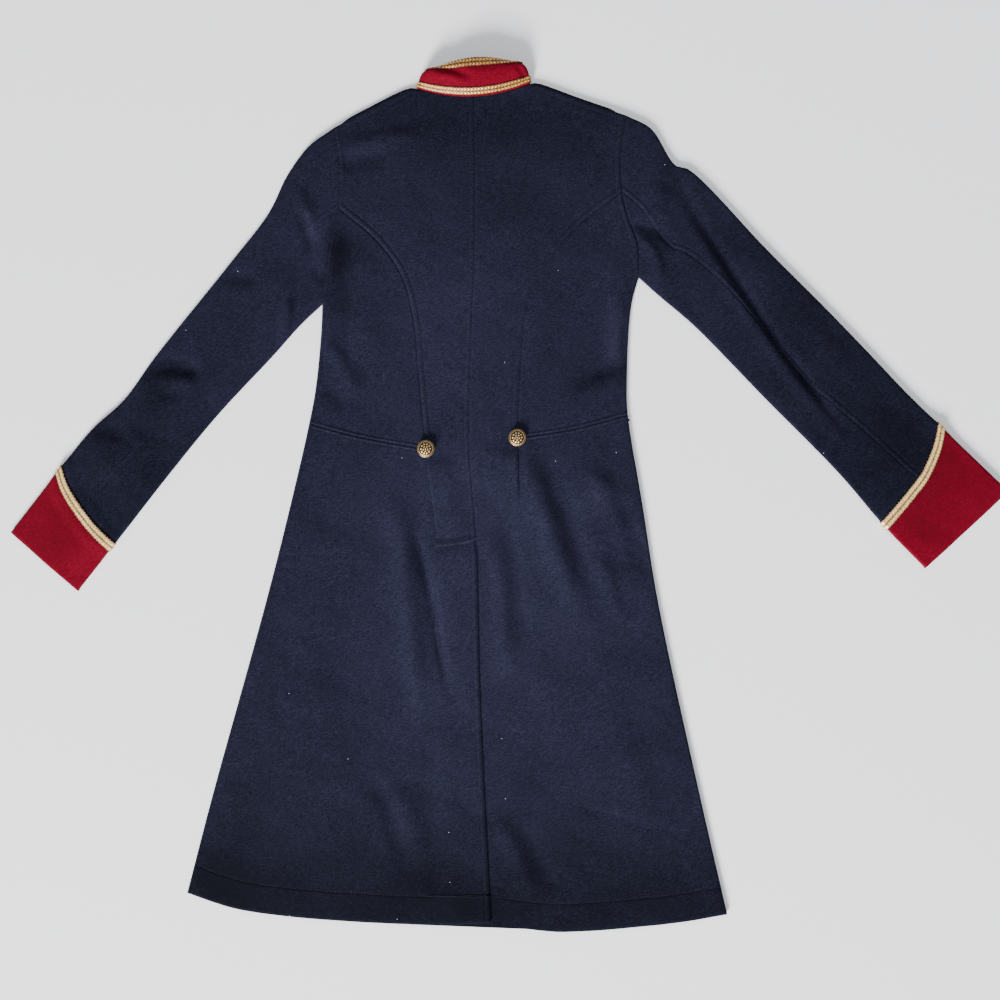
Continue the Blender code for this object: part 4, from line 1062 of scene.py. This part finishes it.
Ring = namedtuple("Ring", "share half_width back_y side_y front_y crown_z brow_z side_z")
collar_rings = [Ring(*row) for row in (
    (0.00, 0.0705, 0.0000, 0.0135, -0.0550, 0.0080, 0.0072, 0.0042),
    (0.30, 0.0690, 0.0105, 0.0228, -0.0430, 0.0180, 0.0130, 0.0075),
    (0.60, 0.0652, 0.0240, 0.0312, -0.0310, 0.0240, 0.0170, 0.0100),
    (0.80, 0.0605, 0.0325, 0.0352, -0.0235, 0.0240, 0.0165, 0.0100),
    (1.00, 0.0560, 0.0440, 0.0325, -0.0150, 0.0215, 0.0125, 0.0090),
)]
COLLAR_EDGE, COLLAR_OPENING, COLLAR_INSET = 0.10, 0.004, 0.006
COLLAR_TUCK, TUCK_HEIGHT, TUCK_SIDE, TOP_TILT = 0.0045, (0.80, 1.0), (0.45, 0.75), 0.0012
collar_folds = fold_table(
    # left and right ends
    (-0.052, 0.0330, 0.004, 0.0190, 0.001, 0.005, -0.0026),
    (-0.056, 0.0240, -0.008, 0.0150, 0.001, 0.006, 0.0018),
    (0.052, 0.0380, 0.066, 0.0170, 0.001, 0.004, -0.0024),
)


def collar_columns(per_face):
    """Side to side shares of the collar's columns, once round from the hidden front, and which look up."""
    brink = 1 - COLLAR_EDGE
    back = steps((-brink, brink, per_face, 0))[0]
    roll = steps((-brink, -1, 8, -1), (-1, -brink, 8, 1))[0]
    left = steps((-COLLAR_OPENING, -brink, per_face // 2, 0))[0]
    side = np.concatenate([left, roll[1:-1], back, -roll[::-1][1:-1], -left[::-1]])
    first = len(left) + 7
    return side, (np.arange(len(side)) >= first) & (np.arange(len(side)) < len(side) - first)


def collar_places(side, upper, share):
    """The stand collar's outside at these columns and shares of its height."""
    values = []
    for name in Ring._fields[1:]:
        smooth = lath([(ring.share, getattr(ring, name)) for ring in collar_rings])
        values.append(np.interp(share, smooth[:, 0], smooth[:, 1])[:, None])
    half_width, back_y, side_y, front_y, crown, brow, side_z = values
    inward = 1 - side**2
    dip = np.where(upper, (back_y - side_y) * inward, (front_y - side_y) * inward**FRONT_NECK_BEND)
    y = side_y + dip + (NECK_TILT + TOP_TILT * share[:, None]) * side
    away = half_width * (1 - np.abs(side))
    over = side_z + rounded(brow + (crown - brow) * inward - side_z, away)
    tucked = ease(share, *TUCK_HEIGHT)[:, None] * (1 - ease(inward, *TUCK_SIDE))
    below = side_z - rounded(side_z - BRAID_RISE - COLLAR_TUCK * tucked, away)
    places = np.dstack([half_width * side, y, np.where(upper, over, below)])
    folded = fold_height(places[..., :2], collar_folds) * ease(away, 0, COLLAR_INSET)
    places[..., 2] += np.where(upper, folded, 0)
    return places


columns, looks_up = collar_columns(60)
collar_piece = cloth_piece("red_collar", collar_places(columns, looks_up, np.linspace(0, 1, 40)), red_cloth)
declare(collar_piece, "collar", "red_cloth", flat=(0.300, 0.052), rests_on=["front_left", "front_right"],
        area=0.0118)


# Collar braid: the same braid in a deeper gold, partly its own more saturated colour and partly painted
# shade that holds it down where the collar faces the light more than the cuffs do, sewn once round the
# collar along its seam and again along its top edge.

collar_gold_with_painted_shade = gold_thread("deeper_gold_thread_with_painted_shade", (0.016, 0.006, 0.001), (0.180, 0.078, 0.014),
                        (0.820, 0.400, 0.080))
COLLAR_WEAVE = 0.85
collar_braids = (
    ("collar_seam_braid", "collar_braid_lower", (0.06, 0.26), (0.011, 0.300)),
    ("collar_edge_braid", "collar_braid_upper", (0.79, 0.985), (0.010, 0.270)),
)
columns, looks_up = collar_columns(330)
for name, node, shares, strip in collar_braids:
    places = collar_places(columns, looks_up, np.linspace(*shares, 25))
    piece = braid_piece(name, places, collar_gold_with_painted_shade, COLLAR_WEAVE)
    declare(piece, node, "gold_braid", flat=strip, rests_on=["collar"])


# Buttons: two domed shank buttons stamped from sheet brass, gilt and darkened with age in the hollows,
# with a plain rope ring and a rosette.  They are sewn on where the back, waist and pleat lines meet.

BUTTON_DIAMETER, BUTTON_HEIGHT = 0.0216, 0.0075
FACE_SHARE, STAMP_DEPTH, PLAIN_TONE = 0.52, 0.0008, 0.6
gilt, tree, shader = shader_of("antique_gilt_brass")
raised = add(tree, "ShaderNodeAttribute", settings={"attribute_name": "raised"}).outputs["Fac"]
spots = noise(tree, add(tree, "ShaderNodeTexCoord").outputs["Object"], 900, 4, 0.65)
colour = ramp(tree, blend(tree, 0.30, raised, spots), (0.24, (0.030, 0.018, 0.008)),
              (0.48, (0.330, 0.215, 0.095)), (0.78, (0.820, 0.650, 0.380)))
rough = ramp(tree, spots, (0.3, (0.30, 0.30, 0.30)), (0.7, (0.55, 0.55, 0.55)))
plug(tree, shader, Base_Color=colour, Roughness=rough, Metallic=0.9)
button_dome = ((0.00, 1.00), (0.20, 0.99), (0.40, 0.94), (0.58, 0.87), (0.72, 0.78), (0.80, 0.71),
               (0.86, 0.66), (0.93, 0.60), (0.98, 0.55), (1.00, 0.50))
button_back = ((0.96, 0.38), (0.60, 0.30), (0.34, 0.26), (0.34, 0.00), (0.00, 0.00))


def stamped(radius, turn):
    """The stamped design's height: a plain rim, a rope ring and a rosette of two rounds of petals."""
    def ring(middle, width):
        return np.exp(-(((radius - middle) / width) ** 2))

    rim = 0.55 * ring(0.97, 0.035)
    rope = ring(0.82, 0.060) * (0.60 + 0.40 * np.cos(22 * turn + 50 * radius))
    outer_petals = ring(0.54, 0.090) * (0.5 + 0.5 * np.cos(10 * turn)) ** 0.8
    inner_petals = 0.9 * ring(0.27, 0.080) * (0.5 + 0.5 * np.cos(5 * turn + 1.6)) ** 0.7
    return np.maximum.reduce([rim, rope, outer_petals, inner_petals, ring(0, 0.085)])


for side, word in WORD.items():
    x, y = princess[side][-1]
    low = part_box(f"button_{word}")[0]
    radius = BUTTON_DIAMETER / 2
    bm = bmesh.new()
    outline = [*lath(button_dome, 3), *button_back]
    points = [bm.verts.new((r * radius, 0, h * BUTTON_HEIGHT)) for r, h in outline]
    edges = [bm.edges.new(ends) for ends in zip(points, points[1:])]
    bmesh.ops.spin(bm, geom=points + edges, axis=(0, 0, 1), angle=math.tau, steps=96, use_merge=True)
    bmesh.ops.remove_doubles(bm, verts=bm.verts, dist=1e-6)
    bmesh.ops.recalc_face_normals(bm, faces=bm.faces)
    heights = []
    for vertex in bm.verts:
        share, turn = math.hypot(vertex.co.x, vertex.co.y) / radius, math.atan2(vertex.co.y, vertex.co.x)
        height = PLAIN_TONE
        if vertex.co.z > FACE_SHARE * BUTTON_HEIGHT:
            height = float(stamped(share, turn))
            vertex.co.z += STAMP_DEPTH * (height - 0.5)
        heights.append(height)
    bmesh.ops.translate(bm, verts=bm.verts, vec=Vector((x + NAPE[0], y + NAPE[1], low[2])))
    piece = finished(f"{word}_waist_button", bm, gilt)
    piece.data.attributes.new("raised", "FLOAT", "POINT").data.foreach_set("value", heights)
    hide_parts(f"button_{word}")


# Topstitching: rows of lockstitch in navy thread, along the seams, the vent's top and edge, the shoulders
# and the hem.  Each stitch is a short plump loop that sinks into the cloth at both ends.

STITCH_LENGTH, STITCH_GAP, STITCH_REACH, STITCH_RISE, THREAD = 0.0026, 0.0007, 0.4, 0.00008, 0.00030
PRINCESS_ROWS = {LEFT: [(0.03, 0.96)], RIGHT: [(0.03, 0.50), (0.82, 0.96)]}
navy_thread, tree, shader = shader_of("navy_thread")
twist = noise(tree, add(tree, "ShaderNodeTexCoord").outputs["Object"], 2200, 2)
colour = ramp(tree, twist, (0.3, (0.0040, 0.0042, 0.0095)), (0.7, (0.0100, 0.0104, 0.0220)))
plug(tree, shader, Base_Color=colour, Roughness=0.6, Specular_IOR_Level=0.25)


def stitches(bm, line, height):
    """Stitches along a plan line, at the height of the cloth under each."""
    count = int(lengths(line)[-1] / (STITCH_LENGTH + STITCH_GAP))
    shares = (np.arange(count) + 0.5) / count
    reach = STITCH_REACH / count
    middles, runs = at(line, shares), at(line, shares + reach) - at(line, shares - reach)
    levels = [height(points) for points in (at(line, shares - reach), middles, at(line, shares + reach))]
    for k in range(count):
        run = Vector((*runs[k], levels[2][k] - levels[0][k])).normalized()
        aside = Vector((-run.y, run.x, 0)).normalized()
        turn = Matrix((run, aside, run.cross(aside))).transposed().to_4x4()
        place = Matrix.Translation(Vector((*middles[k], levels[1][k] + STITCH_RISE)) + Vector(NAPE))
        size = Matrix.Diagonal((STITCH_LENGTH / 2, THREAD, THREAD, 1))
        bmesh.ops.create_icosphere(bm, subdivisions=1, radius=1, matrix=place @ turn @ size)


bm = bmesh.new()
for side in WORD:
    on_centre = partial(centre_back_height, side=side)
    blade, split = blade_share[side], pleat_hem_share[side]
    for line, away, first, last, height in (
        (armhole, ARMHOLE_STITCH, 0.02, blade - 0.02, on_centre),
        (armhole, ARMHOLE_STITCH, blade + 0.03, 0.97, body_height),
        *[(princess, PRINCESS_STITCH, *stretch, on_centre) for stretch in PRINCESS_ROWS[side]],
        (waist, WAIST_STITCH, 0.03, 0.90, body_height),
        (waist, -WAIST_STITCH, 0.03, 0.90, body_height),
        (shoulder, SHOULDER_STITCH, 0.10, 0.97, on_centre),
        (hem, HEM_STITCH, 0.02, split, body_height),
        (hem, HEM_STITCH, split, 0.985, on_centre),
    ):
        stitches(bm, cut(beside(line[side], side * away), first, last), height)
for row in (cut(beside(centre_back, CENTRE_STITCH), 0.01, 0.96), vent_stitch):
    stitches(bm, row, partial(centre_back_height, side=LEFT))
finished("back_topstitching", bm, navy_thread)


def on_sleeve(points, side):
    """Height of the cloth under the row of stitches on a sleeve."""
    relief = -STITCH_DEPTH * near(points, sleeve_rows[side], STITCH_WIDTH)
    return sleeve_height(points, np.ones(points.shape[:-1], bool), side, relief)


bm = bmesh.new()
for side in WORD:
    stitches(bm, cut(sleeve_rows[side], 0.02, 0.98), partial(on_sleeve, side=side))
finished("sleeve_topstitching", bm, navy_thread)


# Surroundings: a plain pale floor, a broad soft light from the lower left as the coat lies, and a camera
# straight above it.

bm = bmesh.new()
bmesh.ops.create_grid(bm, x_segments=1, y_segments=1, size=6)
mesh = bpy.data.meshes.new("floor")
bm.to_mesh(mesh)
bm.free()
floor_finish, tree, shader = shader_of("pale_floor")
plug(tree, shader, Base_Color=(0.86, 0.865, 0.895, 1), Roughness=0.9)
mesh.materials.append(floor_finish)
placed("floor", mesh)

VIEW_X, VIEW_Y, VIEW_HEIGHT, VIEW_WIDTH, SENSOR = -0.0120, -0.0069, 1.50, 1.25, 36
camera_data = bpy.data.cameras.new("camera")
camera_data.sensor_width = SENSOR
camera_data.lens = SENSOR * (VIEW_HEIGHT - FLAT_HEIGHT) / VIEW_WIDTH
camera = placed("camera", camera_data)
camera.location = (VIEW_X, VIEW_Y, VIEW_HEIGHT)
bpy.context.scene.camera = camera


def soft_light(name, place, size, power):
    """A square soft light that faces the middle of the coat."""
    data = bpy.data.lights.new(name, "AREA")
    data.size = size
    data.energy = power
    light = placed(name, data)
    light.location = place
    light.rotation_euler = (-Vector(place)).to_track_quat("-Z", "Y").to_euler()


soft_light("window_light", (-2.9, -6.7, 3.2), 2.4, 2500)
soft_light("ceiling_light", (0.5, 0.9, 2.8), 2.5, 40)
world = bpy.data.worlds.new("studio")
world.use_nodes = True
plug(world.node_tree, world.node_tree.nodes["Background"], Color=(0.95, 0.97, 1.0, 1), Strength=0.50)
bpy.context.scene.world = world
